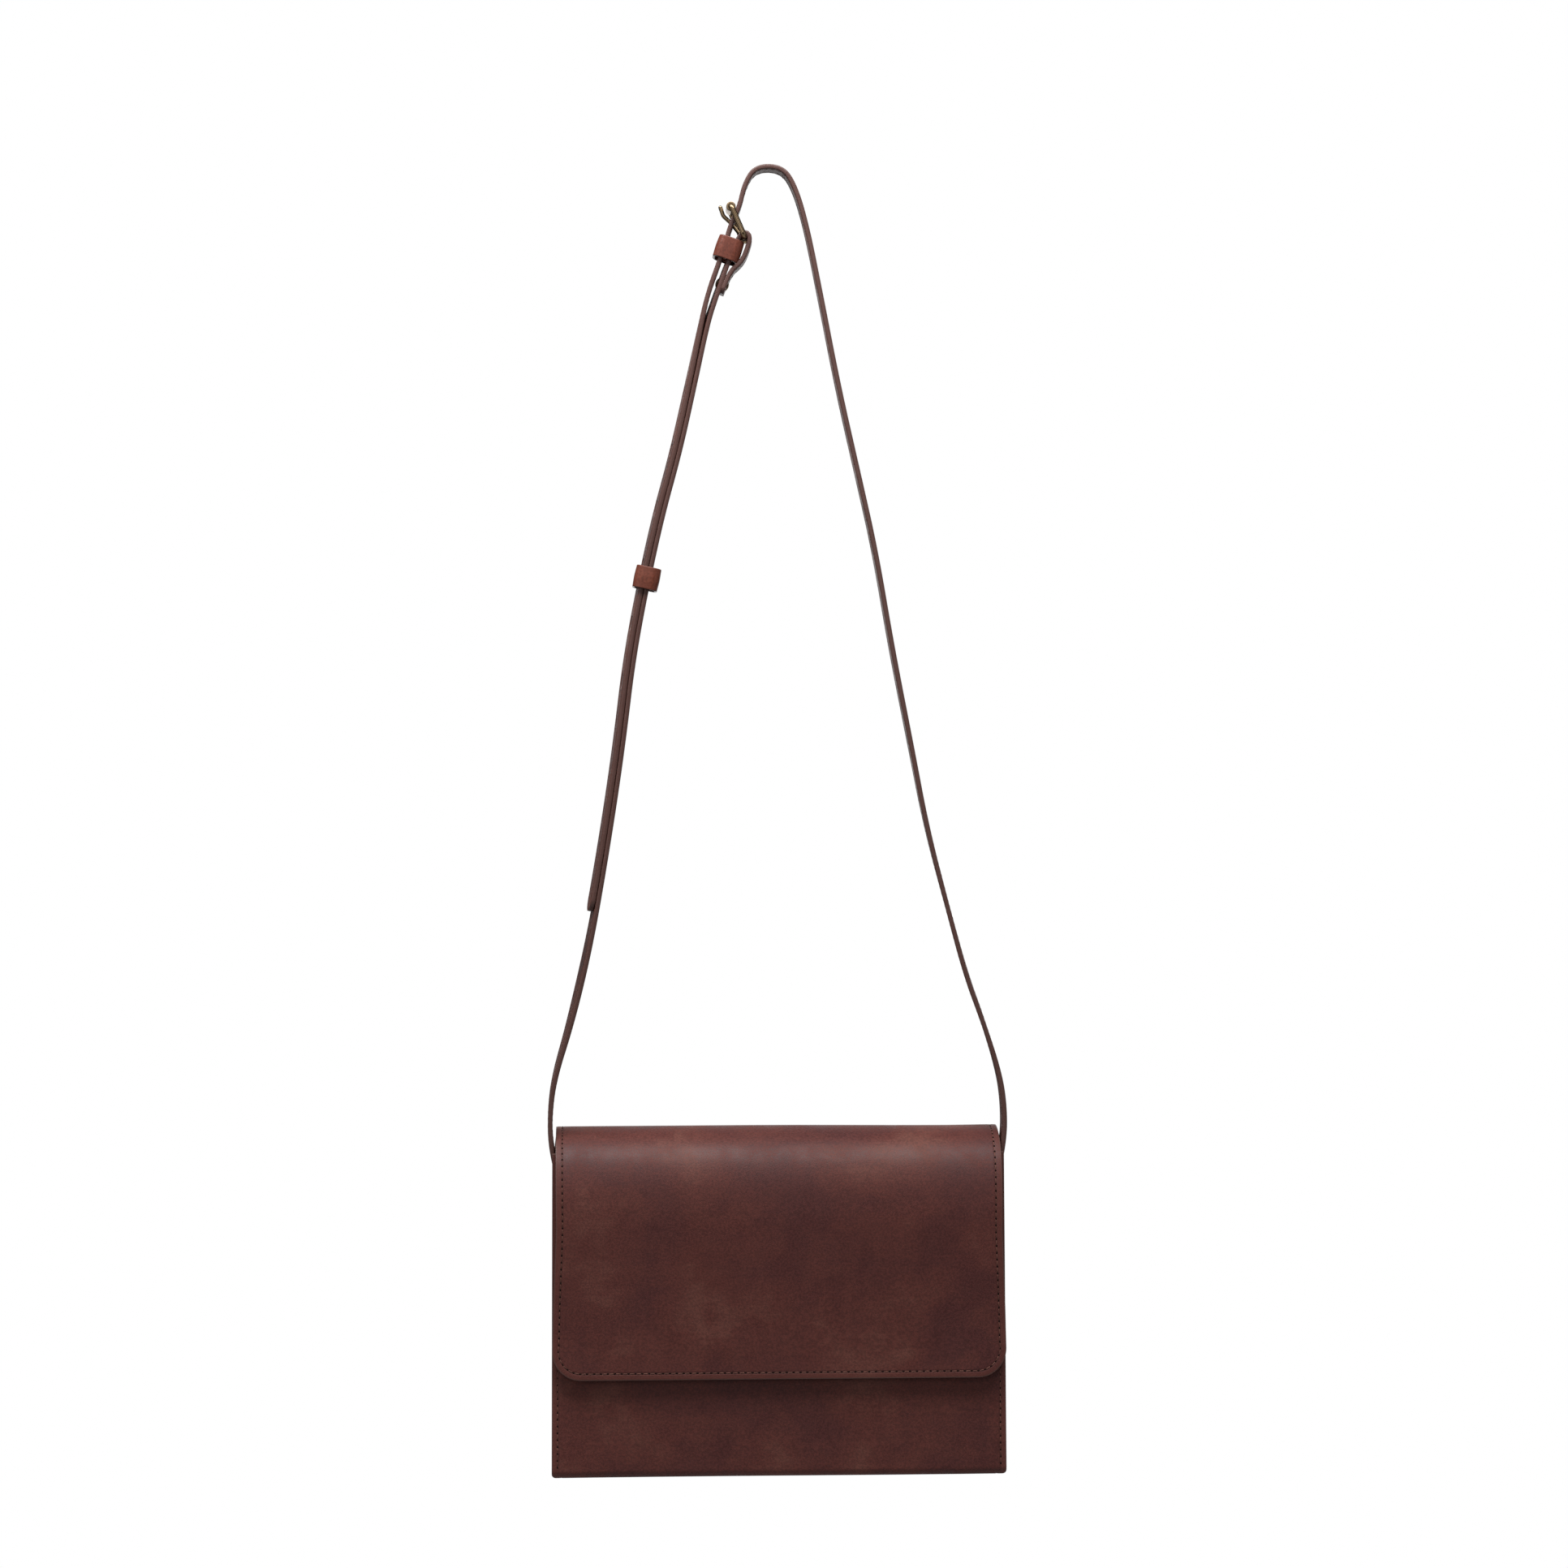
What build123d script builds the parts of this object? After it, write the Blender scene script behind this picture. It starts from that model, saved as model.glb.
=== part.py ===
from build123d import *
import math
import os

os.makedirs("parts", exist_ok=True)

# Crossbody purse that hangs by its strap.  Millimetres, +Z up, the front faces -Y.
# The origin is the hanging point: the underside of the strap at its highest place.

# ---- Overall sizes of the bag ----
bag_width = 229.0
bag_height = 172.5  # crest of the flap's roll to the underside of the bottom
bag_depth = 44.0  # outside, at the bottom
mouth_depth = 32.0  # outside, at the mouth: the gussets narrow upwards
mouth_drop = 11.0  # crest of the roll down to the panels' top edges
strap_drop = 489.5  # hanging point down to the crest of the roll
bag_shift = 5.0  # the bag's middle hangs this far to the right of the hanging point

# ---- Leather ----
panel_thickness = 2.0
gusset_thickness = 1.6
lining_thickness = 1.2
flap_skin_thickness = 1.8
pocket_thickness = 1.2
bottom_fold_radius = 4.0  # outside of the two folds along the bottom
corner_radius = 1.8  # bottom corners of the wrap, seen from the front
flange_width = 6.6  # sewn lip of a gusset, over the outside of its wall
gusset_bend_radius = 2.4
least_bend_radius = 0.4  # inside of a sheet's tightest fold

# ---- Flap ----
flap_length = 123.8  # crest of the roll to the lower edge
flap_fold_width = 223.4  # the flap's width over the mouth, where it passes between the strap's ends
flap_taper_top = 5.0  # below the crest, where the flap starts to widen
flap_taper_end = 70.0  # below the crest, where it has the bag's full width
flap_corner_radius = 15.0
back_roll_radius = 7.0
front_roll_radius = 27.0
flap_standoff = 0.5  # air between the flap's lower edge and the front panel
fold_gap = 0.3  # between the back panel's top edge and the flap
hinge_offset = 0.1  # the fold's axis lies this far outside the back

# ---- Magnets and inner pocket ----
magnet_radius = 7.0
body_magnet_thickness = 2.0
flap_magnet_thickness = 1.2
magnet_recess = 0.7  # depth of the flap magnet in the outer leather
magnet_spacing = 110.0
magnet_rise = 18.0  # above the flap's lower edge
patch_radius = 13.0
patch_cover = 1.0
patch_dome_share = 0.8  # of the patch's height, rounded at its rim
magnet_clearance = 0.05
pocket_width = 150.0
pocket_height = 95.0
pocket_drop = 22.0  # below the mouth
pocket_corner_radius = 8.0

# ---- Strap ----
strap_width = 12.7
strap_thickness = 2.4
strap_lap = 26.0  # length of a strap end that lies on its gusset
strap_start_drop = 29.0  # crest of the roll down to the top of that lap
layer_gap = 0.1  # between two layers of strap that lie together
tail_gap = 0.22  # air between the short strap and the tail that lies on it
tail_tip_level = -378.0
hole_width = 3.2
hole_length = 7.0
hole_pitch = 30.0
hole_count = 9
tip_flat = 0.1  # width left square at the middle of the rounded tip
hang_half_run = 6.7  # half the straight run over the hanging point

# ---- Buckle ----
wire_radius = 1.45
bar_spacing = 16.75  # heel bar to top bar, centre to centre
arm_clearance = 0.75  # between the strap's edge and the frame's arms
frame_corner_radius = 1.9
heel_bar = Vector(-12.5, 0.0, -34.8)
frame_lean = 23.5  # degrees from upright, top towards -X
roller_radius = 2.4
roller_clearance = 0.08
prong_radius = 1.05
prong_eye_radius = 2.6
prong_eye_width = 3.0
prong_eye_clearance = 0.08
prong_slot_width = 4.4
prong_slot_reach = 7.0  # how far the slot runs down the fold, past the bar
prong_bend_radii = [6.0, 4.0]
roller_end_play = 0.4
roller_rim_radius = 0.3
bar_clearance = 0.1  # between the bar and the strap folded round it
fold_lean = 24.5  # degrees from upright of the strap where it folds round the bar
fold_corner_radius = 3.0  # corners of the folded-back end
bend_slack = 0.02  # taken off the fold's arcs, so that a short straight run stays between them

# ---- Keepers ----
keeper_wall = 1.3
keeper_length = 11.0  # along the strap
keeper_inner = 9.2  # across the layers
keeper_side_clearance = 0.7  # beside the strap's edges
keeper_corner_radius = 2.2
fixed_keeper_centre = Vector(-20.6, 0.0, -40.8)
fixed_keeper_lean = 20.0
sliding_keeper_centre = Vector(-62.4, 0.0, -208.4)
sliding_keeper_lean = 12.2

# ---- Rivets ----
rivet_head_radius = 2.8
rivet_head_height = 1.1
rivet_post_radius = 1.5
fold_rivet_place = 8.0  # up the short strap from the fold's lower end
end_rivet_place = 8.0  # above the strap's end, on the gusset

# ---- Levels and faces that follow ----
crest = -strap_drop
mouth = crest - mouth_drop
base = crest - bag_height
back = bag_depth / 2
front = -bag_depth / 2
front_top = back - mouth_depth
left_edge = bag_shift - bag_width / 2
right_edge = bag_shift + bag_width / 2
recess = flange_width - gusset_thickness
flap_thickness = flap_skin_thickness + lining_thickness
flap_end = crest - flap_length
panel_slope = (front_top - front) / (mouth - base)
panel_angle = math.degrees(math.atan(panel_slope))


def front_face_at(level):
    """Y of the front panel's outside at a height: it leans back towards the mouth."""
    return front + (level - base) * panel_slope


flap_front = front_face_at(flap_end) - flap_standoff - flap_thickness
left_anchor = left_edge + recess - strap_thickness / 2
right_anchor = right_edge - recess + strap_thickness / 2
lap_top = crest - strap_start_drop
lap_end = lap_top - strap_lap
tail_offset = strap_thickness + tail_gap


def save(shape, name):
    """Write one sub-part under its node's name."""
    export_step(shape, f"parts/{name}.step")


def bent_sheet(points, radii, thickness, side):
    """Section of a sheet bent along a line, with its thickness on one side of that line."""
    line = FilletPolyline(*points, radius=radii)
    return make_face(offset(line, amount=thickness, side=side, closed=True))


def across_bag(section, width):
    """Carry a section drawn in Y and Z across the bag, centred on its middle."""
    placed = Plane(origin=(bag_shift, 0, 0), x_dir=(0, 1, 0), z_dir=(1, 0, 0)) * section
    return extrude(placed, width / 2, both=True)


# ---- Wrap: front, bottom and back in one piece ----
wrap_line = [(front_top, mouth), (front, base), (back, base), (back, mouth)]


def make_body_panel():
    """The front, bottom and back, folded twice, with the bottom corners eased."""
    section = bent_sheet(wrap_line, bottom_fold_radius, panel_thickness, Side.LEFT)
    panel = across_bag(section, bag_width)
    outline = RectangleRounded(bag_width, 3 * bag_height, corner_radius)
    place = Plane(origin=(bag_shift, 0, base + 1.5 * bag_height), x_dir=(1, 0, 0), z_dir=(0, 1, 0))
    return panel & extrude(place * outline, bag_depth, both=True)


# ---- Gussets: trays that open outwards, with their lips sewn to the wrap ----
def gusset_block(inset, depth, side):
    """The bag's inside, taken in by an inset, from its side edge to a depth."""
    shrink = panel_thickness + inset
    lean = math.cos(math.radians(panel_angle))
    inner_front = front + shrink / lean
    floor = base + shrink
    top = mouth if inset == 0 else mouth + gusset_thickness
    corners = [
        (inner_front + (top - base) * panel_slope, top),
        (inner_front + (floor - base) * panel_slope, floor),
        (back - shrink, floor),
        (back - shrink, top),
    ]
    fold = max(bottom_fold_radius - shrink, least_bend_radius)
    outline = FilletPolyline(*corners, radius=fold) + Line(corners[-1], corners[0])
    edge = left_edge if side < 0 else right_edge
    plane = Plane(origin=(edge, 0, 0), x_dir=(0, 1, 0), z_dir=(1, 0, 0))
    block = extrude(plane * make_face(outline), amount=-side * depth)
    inner_face = block.faces().sort_by(Axis.X)[0 if side > 0 else -1]
    bends = [e for e in inner_face.edges() if e.center().Z < top - 1]
    return fillet(bends, max(gusset_bend_radius - inset, least_bend_radius))


def make_gusset(side):
    """One side piece: a tray whose wall stands in from the edge by the recess."""
    return gusset_block(0, flange_width, side) - gusset_block(gusset_thickness, recess, side)


# ---- Flap: two layers bent along one line ----
def flap_layer(depth, thickness):
    """One layer of the flap, from a depth under its outside, with the flap's outline."""
    points = [
        (back - depth, mouth + fold_gap),
        (back - depth, crest - depth),
        (flap_front + depth, crest - depth),
        (flap_front + depth, flap_end),
    ]
    radii = [back_roll_radius - depth, front_roll_radius - depth]
    sheet = across_bag(bent_sheet(points, radii, thickness, Side.LEFT), bag_width)
    left_side = [
        (-flap_fold_width / 2, 5.0),
        (-flap_fold_width / 2, -flap_taper_top),
        (-bag_width / 2, -flap_taper_end),
        (-bag_width / 2, -flap_length),
    ]
    right_side = [(-x, z) for x, z in reversed(left_side)]
    outline = Polyline(*left_side, *right_side, close=True)
    pattern = make_face(outline)
    corners = pattern.vertices().group_by(Axis.Y)[0]
    pattern = fillet(corners, flap_corner_radius)
    place = Plane(origin=(bag_shift, 0, crest), x_dir=(1, 0, 0), z_dir=(0, -1, 0))
    return sheet & extrude(place * pattern, bag_depth, both=True)


magnet_level = flap_end + magnet_rise
magnet_xs = [bag_shift - magnet_spacing / 2, bag_shift + magnet_spacing / 2]
flap_magnet_front = flap_front + flap_skin_thickness - magnet_recess


def disc(x, y, z, radius, thickness, tilt=0.0):
    """A disc whose front face is centred on the point and which reaches towards +Y."""
    face = Location((x, y, z), (-90 + tilt, 0, 0)) * Circle(radius)
    return extrude(face, thickness)


def flap_magnet_discs(clearance):
    """The flap's magnets, or with a clearance the seats cut for them."""
    front_y = flap_magnet_front - clearance
    thickness = flap_magnet_thickness + 2 * clearance
    return [disc(x, front_y, magnet_level, magnet_radius + clearance, thickness) for x in magnet_xs]


def on_front_panel(x, radius, start, thickness):
    """A disc on the front panel's inside, square to it, from a height above that face."""
    inside_y = front_face_at(magnet_level) + panel_thickness / math.cos(math.radians(panel_angle))
    place = Location((x, inside_y, magnet_level), (-90 - panel_angle, 0, 0))
    return extrude(place * Pos(0, 0, start) * Circle(radius), thickness)


def make_magnet_patch(x):
    """A domed leather patch over one magnet, glued and sewn to the panel's inside."""
    height = body_magnet_thickness + magnet_clearance + patch_cover
    patch = on_front_panel(x, patch_radius, 0, height)
    rim = patch.edges().filter_by(GeomType.CIRCLE).sort_by(Axis.Y)[-1]
    patch = fillet(rim, patch_dome_share * height)
    seat_height = body_magnet_thickness + magnet_clearance
    return patch - on_front_panel(x, magnet_radius + magnet_clearance, 0, seat_height)


def make_pocket():
    """The slip pocket, a flat panel sewn to the inside of the back."""
    top = mouth - pocket_drop
    plane = Plane(
        origin=(bag_shift, back - panel_thickness, top - pocket_height / 2),
        x_dir=(1, 0, 0),
        z_dir=(0, -1, 0),
    )
    panel = extrude(plane * Rectangle(pocket_width, pocket_height), pocket_thickness)
    lower = panel.edges().filter_by(Axis.Y).group_by(Axis.Z)[0]
    return fillet(lower, pocket_corner_radius)


# ---- Strap routes: X and Z of the strap's middle line ----
# The short strap, from its gusset up to the fold, and the part that the tail lies on.
left_rise = [
    (left_anchor, lap_end),
    (left_anchor, lap_top),
    (left_edge - 1.4, crest - 7.5),
    (-111.2, -480.0),
    (-108.9, -462.0),
    (-100.8, -435.0),
    (-91.8, -397.0),
]
paired = [
    (-85.2, -361.0),
    (-78.6, -320.0),
    (-73.9, -286.0),
    (-70.0, -253.0),
    (-64.2, -220.0),
    (-55.2, -178.0),
    (-46.1, -145.0),
    (-38.8, -112.0),
    (-31.8, -79.0),
]
leg_bottom = (-27.3, -65.5)
leg_top = (-20.4, -46.0)
# The long strap, from its gusset over the hanging point and down to the buckle.
right_rise = [
    (right_anchor, lap_end),
    (right_anchor, lap_top),
    (right_edge + 1.2, crest - 5.5),
    (120.8, -478.0),
    (118.4, -461.0),
    (110.3, -435.0),
    (101.4, -411.0),
    (92.1, -377.0),
    (81.2, -336.0),
    (73.1, -294.0),
    (63.3, -244.6),
    (54.8, -194.7),
    (46.3, -157.0),
    (35.9, -111.7),
    (26.2, -61.8),
    (19.3, -27.8),
    (13.2, -7.8),
]
over_peg = [(hang_half_run, strap_thickness / 2), (-hang_half_run, strap_thickness / 2)]
through_buckle = [
    (-12.3, -7.8),
    (-14.7, -19.0),
    (-19.0, -27.8),
    (-21.4, -36.0),
    (-25.2, -47.5),
    (-31.0, -63.5),
]


def run_and_turn(points, place):
    """The shorter of the two runs at a corner, and half the angle turned there."""
    before = Vector(*points[place]) - Vector(*points[place - 1])
    after = Vector(*points[place + 1]) - Vector(*points[place])
    half = math.radians(before.get_angle(after)) / 2
    return min(before.length, after.length), half


def widest_radii(points):
    """For each corner, the largest arc that its two runs leave room for."""
    radii = []
    for place in range(1, len(points) - 1):
        run, half = run_and_turn(points, place)
        radii.append(0.45 * run / math.tan(half))
    return radii


def strap_path(points, radii):
    """The strap's middle line in the XZ plane: straight runs joined by tangent arcs."""
    return FilletPolyline(*[(x, 0, z) for x, z in points], radius=radii)


def strap_band(path, name):
    """The flat strap along its path, with its volume compared with section times length."""
    start = path @ 0
    along = path % 0
    section = Plane(origin=start, x_dir=(0, 1, 0), z_dir=along) * Rectangle(strap_width, strap_thickness)
    band = sweep(section, path)
    expected = strap_width * strap_thickness * path.length
    print(f"{name}: length {path.length:.1f}, volume {band.volume:.0f}, section x length {expected:.0f}")
    return band


def end_edges(band, point):
    """The edges through the thickness of the strap, at the end nearest a point."""
    face = band.faces().sort_by_distance(point)[0]
    return [e for e in face.edges() if abs(e.length - strap_thickness) < 0.01]


fold_reach = wire_radius + bar_clearance + strap_thickness / 2
leg_line = Vector(leg_top[0] - leg_bottom[0], 0, leg_top[1] - leg_bottom[1]).normalized()
leg_side = Vector(leg_line.Z, 0, -leg_line.X)
fold_angle = math.radians(fold_lean)
fold_up = Vector(math.sin(fold_angle), 0, math.cos(fold_angle))
fold_side = Vector(fold_up.Z, 0, -fold_up.X)


def flat(vector):
    """X and Z of a vector."""
    return (vector.X, vector.Z)


def beside_leg(distance):
    """Middle of the folded-back layer, this far up the leg from its lower end."""
    foot = Vector(leg_bottom[0], 0, leg_bottom[1])
    return flat(foot + leg_line * distance + leg_side * (strap_thickness + layer_gap / 2))


fold_left = flat(heel_bar + fold_up * fold_reach - fold_side * fold_reach)
fold_right = flat(heel_bar + fold_up * fold_reach + fold_side * fold_reach)
folded_back = [(-10.6, -40.6), (-13.6, -47.6), beside_leg(14.5), beside_leg(3.0)]
short_route = left_rise + paired + [leg_bottom, leg_top, fold_left, fold_right] + folded_back


def fold_radii():
    """Arcs of the short strap: those round the heel bar are the bar's own size."""
    radii = widest_radii(short_route)
    first_fold = short_route.index(fold_left) - 1
    radii[first_fold] = fold_reach - bend_slack
    radii[first_fold + 1] = fold_reach - bend_slack
    return radii


def make_long_route():
    """Points of the long strap; its tail keeps a set distance from the short strap."""
    tail = [(x - tail_offset, z) for x, z in reversed(paired)]
    low, high = left_rise[-1], paired[0]
    share = (tail_tip_level - high[1]) / (low[1] - high[1])
    tip = (high[0] + share * (low[0] - high[0]) - tail_offset, tail_tip_level)
    return right_rise + over_peg + through_buckle + tail + [tip]


long_route = make_long_route()
long_radii = widest_radii(long_route)
short_radii = fold_radii()
print("long strap radii", [round(r, 1) for r in long_radii])
print("short strap radii", [round(r, 1) for r in short_radii])
long_path = strap_path(long_route, long_radii)
short_path = strap_path(short_route, short_radii)

# ---- Buckle directions, and where the prong goes through the strap ----
lean = math.radians(frame_lean)
frame_up = Vector(-math.sin(lean), 0, math.cos(lean))
top_bar = heel_bar + frame_up * bar_spacing
prong_points = [heel_bar, Vector(-19.2, 0, -26.7), Vector(-22.9, 0, -23.4), Vector(-24.4, 0, -19.1)]


def nearest_length(path, point, low, high):
    """Length along the path at which it comes nearest to a point, between two limits."""
    best = low
    step = 0.05
    for count in range(int((high - low) / step)):
        length = low + count * step
        if (path.position_at(length, PositionMode.LENGTH) - point).length < (
            path.position_at(best, PositionMode.LENGTH) - point
        ).length:
            best = length
    return best


def prong_crossing():
    """Where the straight shank of the prong meets the run of strap through the buckle."""
    start = Vector(through_buckle[1][0], 0, through_buckle[1][1])
    run = Vector(through_buckle[2][0], 0, through_buckle[2][1]) - start
    shank = prong_points[1] - heel_bar
    gap = heel_bar - start
    share = (gap.X * shank.Z - gap.Z * shank.X) / (run.X * shank.Z - run.Z * shank.X)
    return start + run * share


def strap_hole(path, length):
    """An oblong punch through the strap, at a length along its path."""
    centre = path.position_at(length, PositionMode.LENGTH)
    along = path.tangent_at(length, PositionMode.LENGTH)
    place = Plane(origin=centre, x_dir=along, z_dir=Vector(0, 1, 0).cross(along))
    return extrude(place * SlotOverall(hole_length, hole_width), strap_thickness, both=True)


def make_strap_long():
    """The long strap, with its row of holes and its rounded tip."""
    band = strap_band(long_path, "strap_long")
    crossing = prong_crossing()
    used = nearest_length(long_path, crossing, 0.5 * long_path.length, 0.7 * long_path.length)
    for count in range(hole_count):
        band -= strap_hole(long_path, used + count * hole_pitch)
    return fillet(end_edges(band, long_path @ 1), (strap_width - tip_flat) / 2)


def make_strap_short():
    """The short strap, folded round the heel bar, with the slot that the prong swings in."""
    band = strap_band(short_path, "strap_short")
    reach = fold_reach + strap_thickness
    slot_plane = Plane(origin=heel_bar + fold_up * (reach / 2), x_dir=fold_side, z_dir=(0, 1, 0))
    outline = Rectangle(2 * reach, reach + prong_slot_reach)
    slot = extrude(slot_plane * outline, prong_slot_width / 2, both=True)
    band -= slot
    return fillet(end_edges(band, short_path @ 1), fold_corner_radius)


# ---- Buckle ----
arm_place = strap_width / 2 + arm_clearance + wire_radius
frame_facing = frame_up.cross(Vector(0, 1, 0))
frame_plane = Plane(origin=heel_bar + frame_up * (bar_spacing / 2), x_dir=(0, 1, 0), z_dir=frame_facing)


def make_buckle_frame():
    """A closed frame of round wire: heel bar, two arms and top bar."""
    loop = frame_plane * RectangleRounded(2 * arm_place, bar_spacing, frame_corner_radius)
    wire = loop.faces()[0].outer_wire()
    start = wire @ 0
    section = Plane(origin=start, z_dir=wire % 0) * Circle(wire_radius)
    return sweep(section, wire)


def tube_on(axis_point, outer, inner, width):
    """A tube along Y, centred on a point of its axis."""
    plane = Plane(origin=axis_point, x_dir=(1, 0, 0), z_dir=(0, 1, 0))
    return extrude(plane * (Circle(outer) - Circle(inner)), width / 2, both=True)


def make_roller():
    """The roller that turns on the top bar."""
    length = 2 * (arm_place - frame_corner_radius) - roller_end_play
    roller = tube_on(top_bar, roller_radius, wire_radius + roller_clearance, length)
    rims = roller.edges().filter_by(GeomType.CIRCLE).filter_by(lambda e: e.radius > roller_radius - 0.01)
    return fillet(rims, roller_rim_radius)


def make_prong():
    """The prong: an eye round the heel bar and a shank that curves up to a round tip."""
    eye = tube_on(heel_bar, prong_eye_radius, wire_radius + prong_eye_clearance, prong_eye_width)
    path = FilletPolyline(*prong_points, radius=prong_bend_radii)
    section = Plane(origin=heel_bar, z_dir=path % 0) * Circle(prong_radius)
    shank = sweep(section, path)
    shank = shank - Location(heel_bar) * Rotation(90, 0, 0) * Cylinder(
        wire_radius + prong_eye_clearance, prong_eye_width + 1
    )
    tip = Location(prong_points[-1]) * Sphere(prong_radius)
    return eye + shank + tip


# ---- Keepers: closed loops of thin leather ----
def make_keeper(centre, lean_angle):
    """A loop round the layers of strap, standing along the strap at that place."""
    angle = math.radians(lean_angle)
    up = Vector(math.sin(angle), 0, math.cos(angle))
    across = keeper_inner + 2 * keeper_wall
    wide = strap_width + 2 * keeper_side_clearance + 2 * keeper_wall
    plane = Plane(origin=centre, x_dir=up.cross(Vector(0, -1, 0)), z_dir=up)
    outer = RectangleRounded(across, wide, keeper_corner_radius + keeper_wall)
    inner = RectangleRounded(across - 2 * keeper_wall, wide - 2 * keeper_wall, keeper_corner_radius)
    return extrude(plane * (outer - inner), keeper_length / 2, both=True)


# ---- Rivets ----
def make_rivet(start, direction, grip):
    """A set rivet: two low domed heads on a post, with the layers gripped between them."""
    base_plane = Plane(origin=start, z_dir=direction)
    on_floor = (Align.CENTER, Align.CENTER, Align.MIN)
    ball_radius = (rivet_head_radius**2 + rivet_head_height**2) / (2 * rivet_head_height)
    ball = Pos(0, 0, rivet_head_height - ball_radius) * Sphere(ball_radius)
    head = ball & Cylinder(rivet_head_radius + 1, rivet_head_height, align=on_floor)
    post = Cylinder(rivet_post_radius, grip, align=on_floor)
    near = Rotation(180, 0, 0) * head
    far = Pos(0, 0, grip) * head
    return base_plane * (near + post + far)


leg_foot = Vector(leg_bottom[0], 0, leg_bottom[1])
fold_grip = 2 * strap_thickness + layer_gap / 2
fold_rivet_start = leg_foot + leg_line * fold_rivet_place - leg_side * (strap_thickness / 2)
end_grip = strap_thickness + gusset_thickness
end_rivet_level = lap_end + end_rivet_place
end_rivet_starts = [
    (Vector(left_anchor - strap_thickness / 2, 0, end_rivet_level), Vector(1, 0, 0)),
    (Vector(right_anchor + strap_thickness / 2, 0, end_rivet_level), Vector(-1, 0, 0)),
]


def rivet_hole(start, direction, grip):
    """The round hole that a rivet's post fills."""
    place = Plane(origin=start - direction * 0.5, z_dir=direction)
    return extrude(place * Circle(rivet_post_radius), grip + 1.0)


# ---- Build and write every sub-part ----
fold_hole = rivet_hole(fold_rivet_start, leg_side, fold_grip)
end_holes = [rivet_hole(start, direction, end_grip) for start, direction in end_rivet_starts]
flap_seats = flap_magnet_discs(magnet_clearance)

save(make_body_panel(), "body_panel")
save(make_gusset(-1) - end_holes[0], "gusset_left")
save(make_gusset(1) - end_holes[1], "gusset_right")
save(flap_layer(0, flap_skin_thickness) - flap_seats, "flap_leather")
save(flap_layer(flap_skin_thickness, lining_thickness) - flap_seats, "flap_lining")
save(Compound(children=flap_magnet_discs(0)), "flap_magnets")
save(
    Compound(children=[on_front_panel(x, magnet_radius, 0, body_magnet_thickness) for x in magnet_xs]),
    "body_magnets",
)
save(Compound(children=[make_magnet_patch(x) for x in magnet_xs]), "magnet_patches")
save(make_pocket(), "inner_pocket")
save(make_strap_long() - end_holes[1], "strap_long")
save(make_strap_short() - end_holes[0] - fold_hole, "strap_short")
save(make_rivet(fold_rivet_start, leg_side, fold_grip), "fold_rivet")
save(
    Compound(children=[make_rivet(start, direction, end_grip) for start, direction in end_rivet_starts]),
    "strap_end_rivets",
)
save(make_buckle_frame(), "buckle_frame")
save(make_roller(), "buckle_roller")
save(make_prong(), "buckle_prong")
save(make_keeper(fixed_keeper_centre, fixed_keeper_lean), "keeper_fixed")
save(make_keeper(sliding_keeper_centre, sliding_keeper_lean), "keeper_sliding")
print("hinge", bag_shift, back + hinge_offset, mouth + fold_gap / 2)
print("heel bar", heel_bar, "top bar", top_bar)
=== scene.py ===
import math

import bmesh
import bpy
import numpy as np
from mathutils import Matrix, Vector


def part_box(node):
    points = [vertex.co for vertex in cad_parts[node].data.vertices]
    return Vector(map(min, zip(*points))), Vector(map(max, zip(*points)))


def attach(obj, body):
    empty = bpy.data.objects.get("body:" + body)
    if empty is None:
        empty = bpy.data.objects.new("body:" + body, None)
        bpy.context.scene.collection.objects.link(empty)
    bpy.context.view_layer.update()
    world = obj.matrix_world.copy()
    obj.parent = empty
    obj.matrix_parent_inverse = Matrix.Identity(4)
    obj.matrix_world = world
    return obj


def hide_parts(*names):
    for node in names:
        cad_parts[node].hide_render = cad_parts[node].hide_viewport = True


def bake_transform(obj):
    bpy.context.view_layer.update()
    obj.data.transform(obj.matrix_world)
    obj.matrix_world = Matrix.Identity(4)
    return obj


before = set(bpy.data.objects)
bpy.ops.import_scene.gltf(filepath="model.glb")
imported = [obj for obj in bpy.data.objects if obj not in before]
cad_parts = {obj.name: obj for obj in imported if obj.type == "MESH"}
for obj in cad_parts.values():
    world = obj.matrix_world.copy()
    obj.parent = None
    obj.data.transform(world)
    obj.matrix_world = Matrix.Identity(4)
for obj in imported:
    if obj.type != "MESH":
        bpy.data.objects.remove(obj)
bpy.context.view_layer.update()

# ==== Studio ====
# The purse hangs by its strap in a white studio: a level camera a little to its left, one large
# softbox over its front, a weaker one before it, two narrow ones at its sides and one behind it,
# with a plain pale floor far below.
MM = 0.001  # sizes in this file are in millimetres, and become metres as each mesh is made
camera_distance = 1619.0
camera_target = np.array([8.1, 0.0, -313.2])
camera_turn = math.radians(-2.8)
camera_lens = 72.76
floor_level = -1150.0
floor_reach = 9000.0

scene = bpy.context.scene
scene.view_settings.view_transform = "Standard"
sight = np.array([-math.sin(camera_turn), math.cos(camera_turn), 0.0])
camera = bpy.data.objects.new("camera", bpy.data.cameras.new("camera"))
camera.data.lens = camera_lens
camera.data.sensor_width = 36.0
camera.location = (camera_target - camera_distance * sight) * MM
camera.rotation_euler = (math.radians(90), 0, camera_turn)
scene.collection.objects.link(camera)
scene.camera = camera


def set_inputs(tree, node, inputs):
    """Give each of a node's inputs a value or another node's output."""
    for key, value in inputs.items():
        if isinstance(value, bpy.types.NodeSocket):
            tree.links.new(value, node.inputs[key])
        else:
            node.inputs[key].default_value = value


def put_node(tree, kind, inputs=None, **settings):
    """Add a node with its settings and inputs."""
    node = tree.nodes.new(kind)
    for key, value in settings.items():
        setattr(node, key, value)
    set_inputs(tree, node, inputs or {})
    return node


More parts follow.
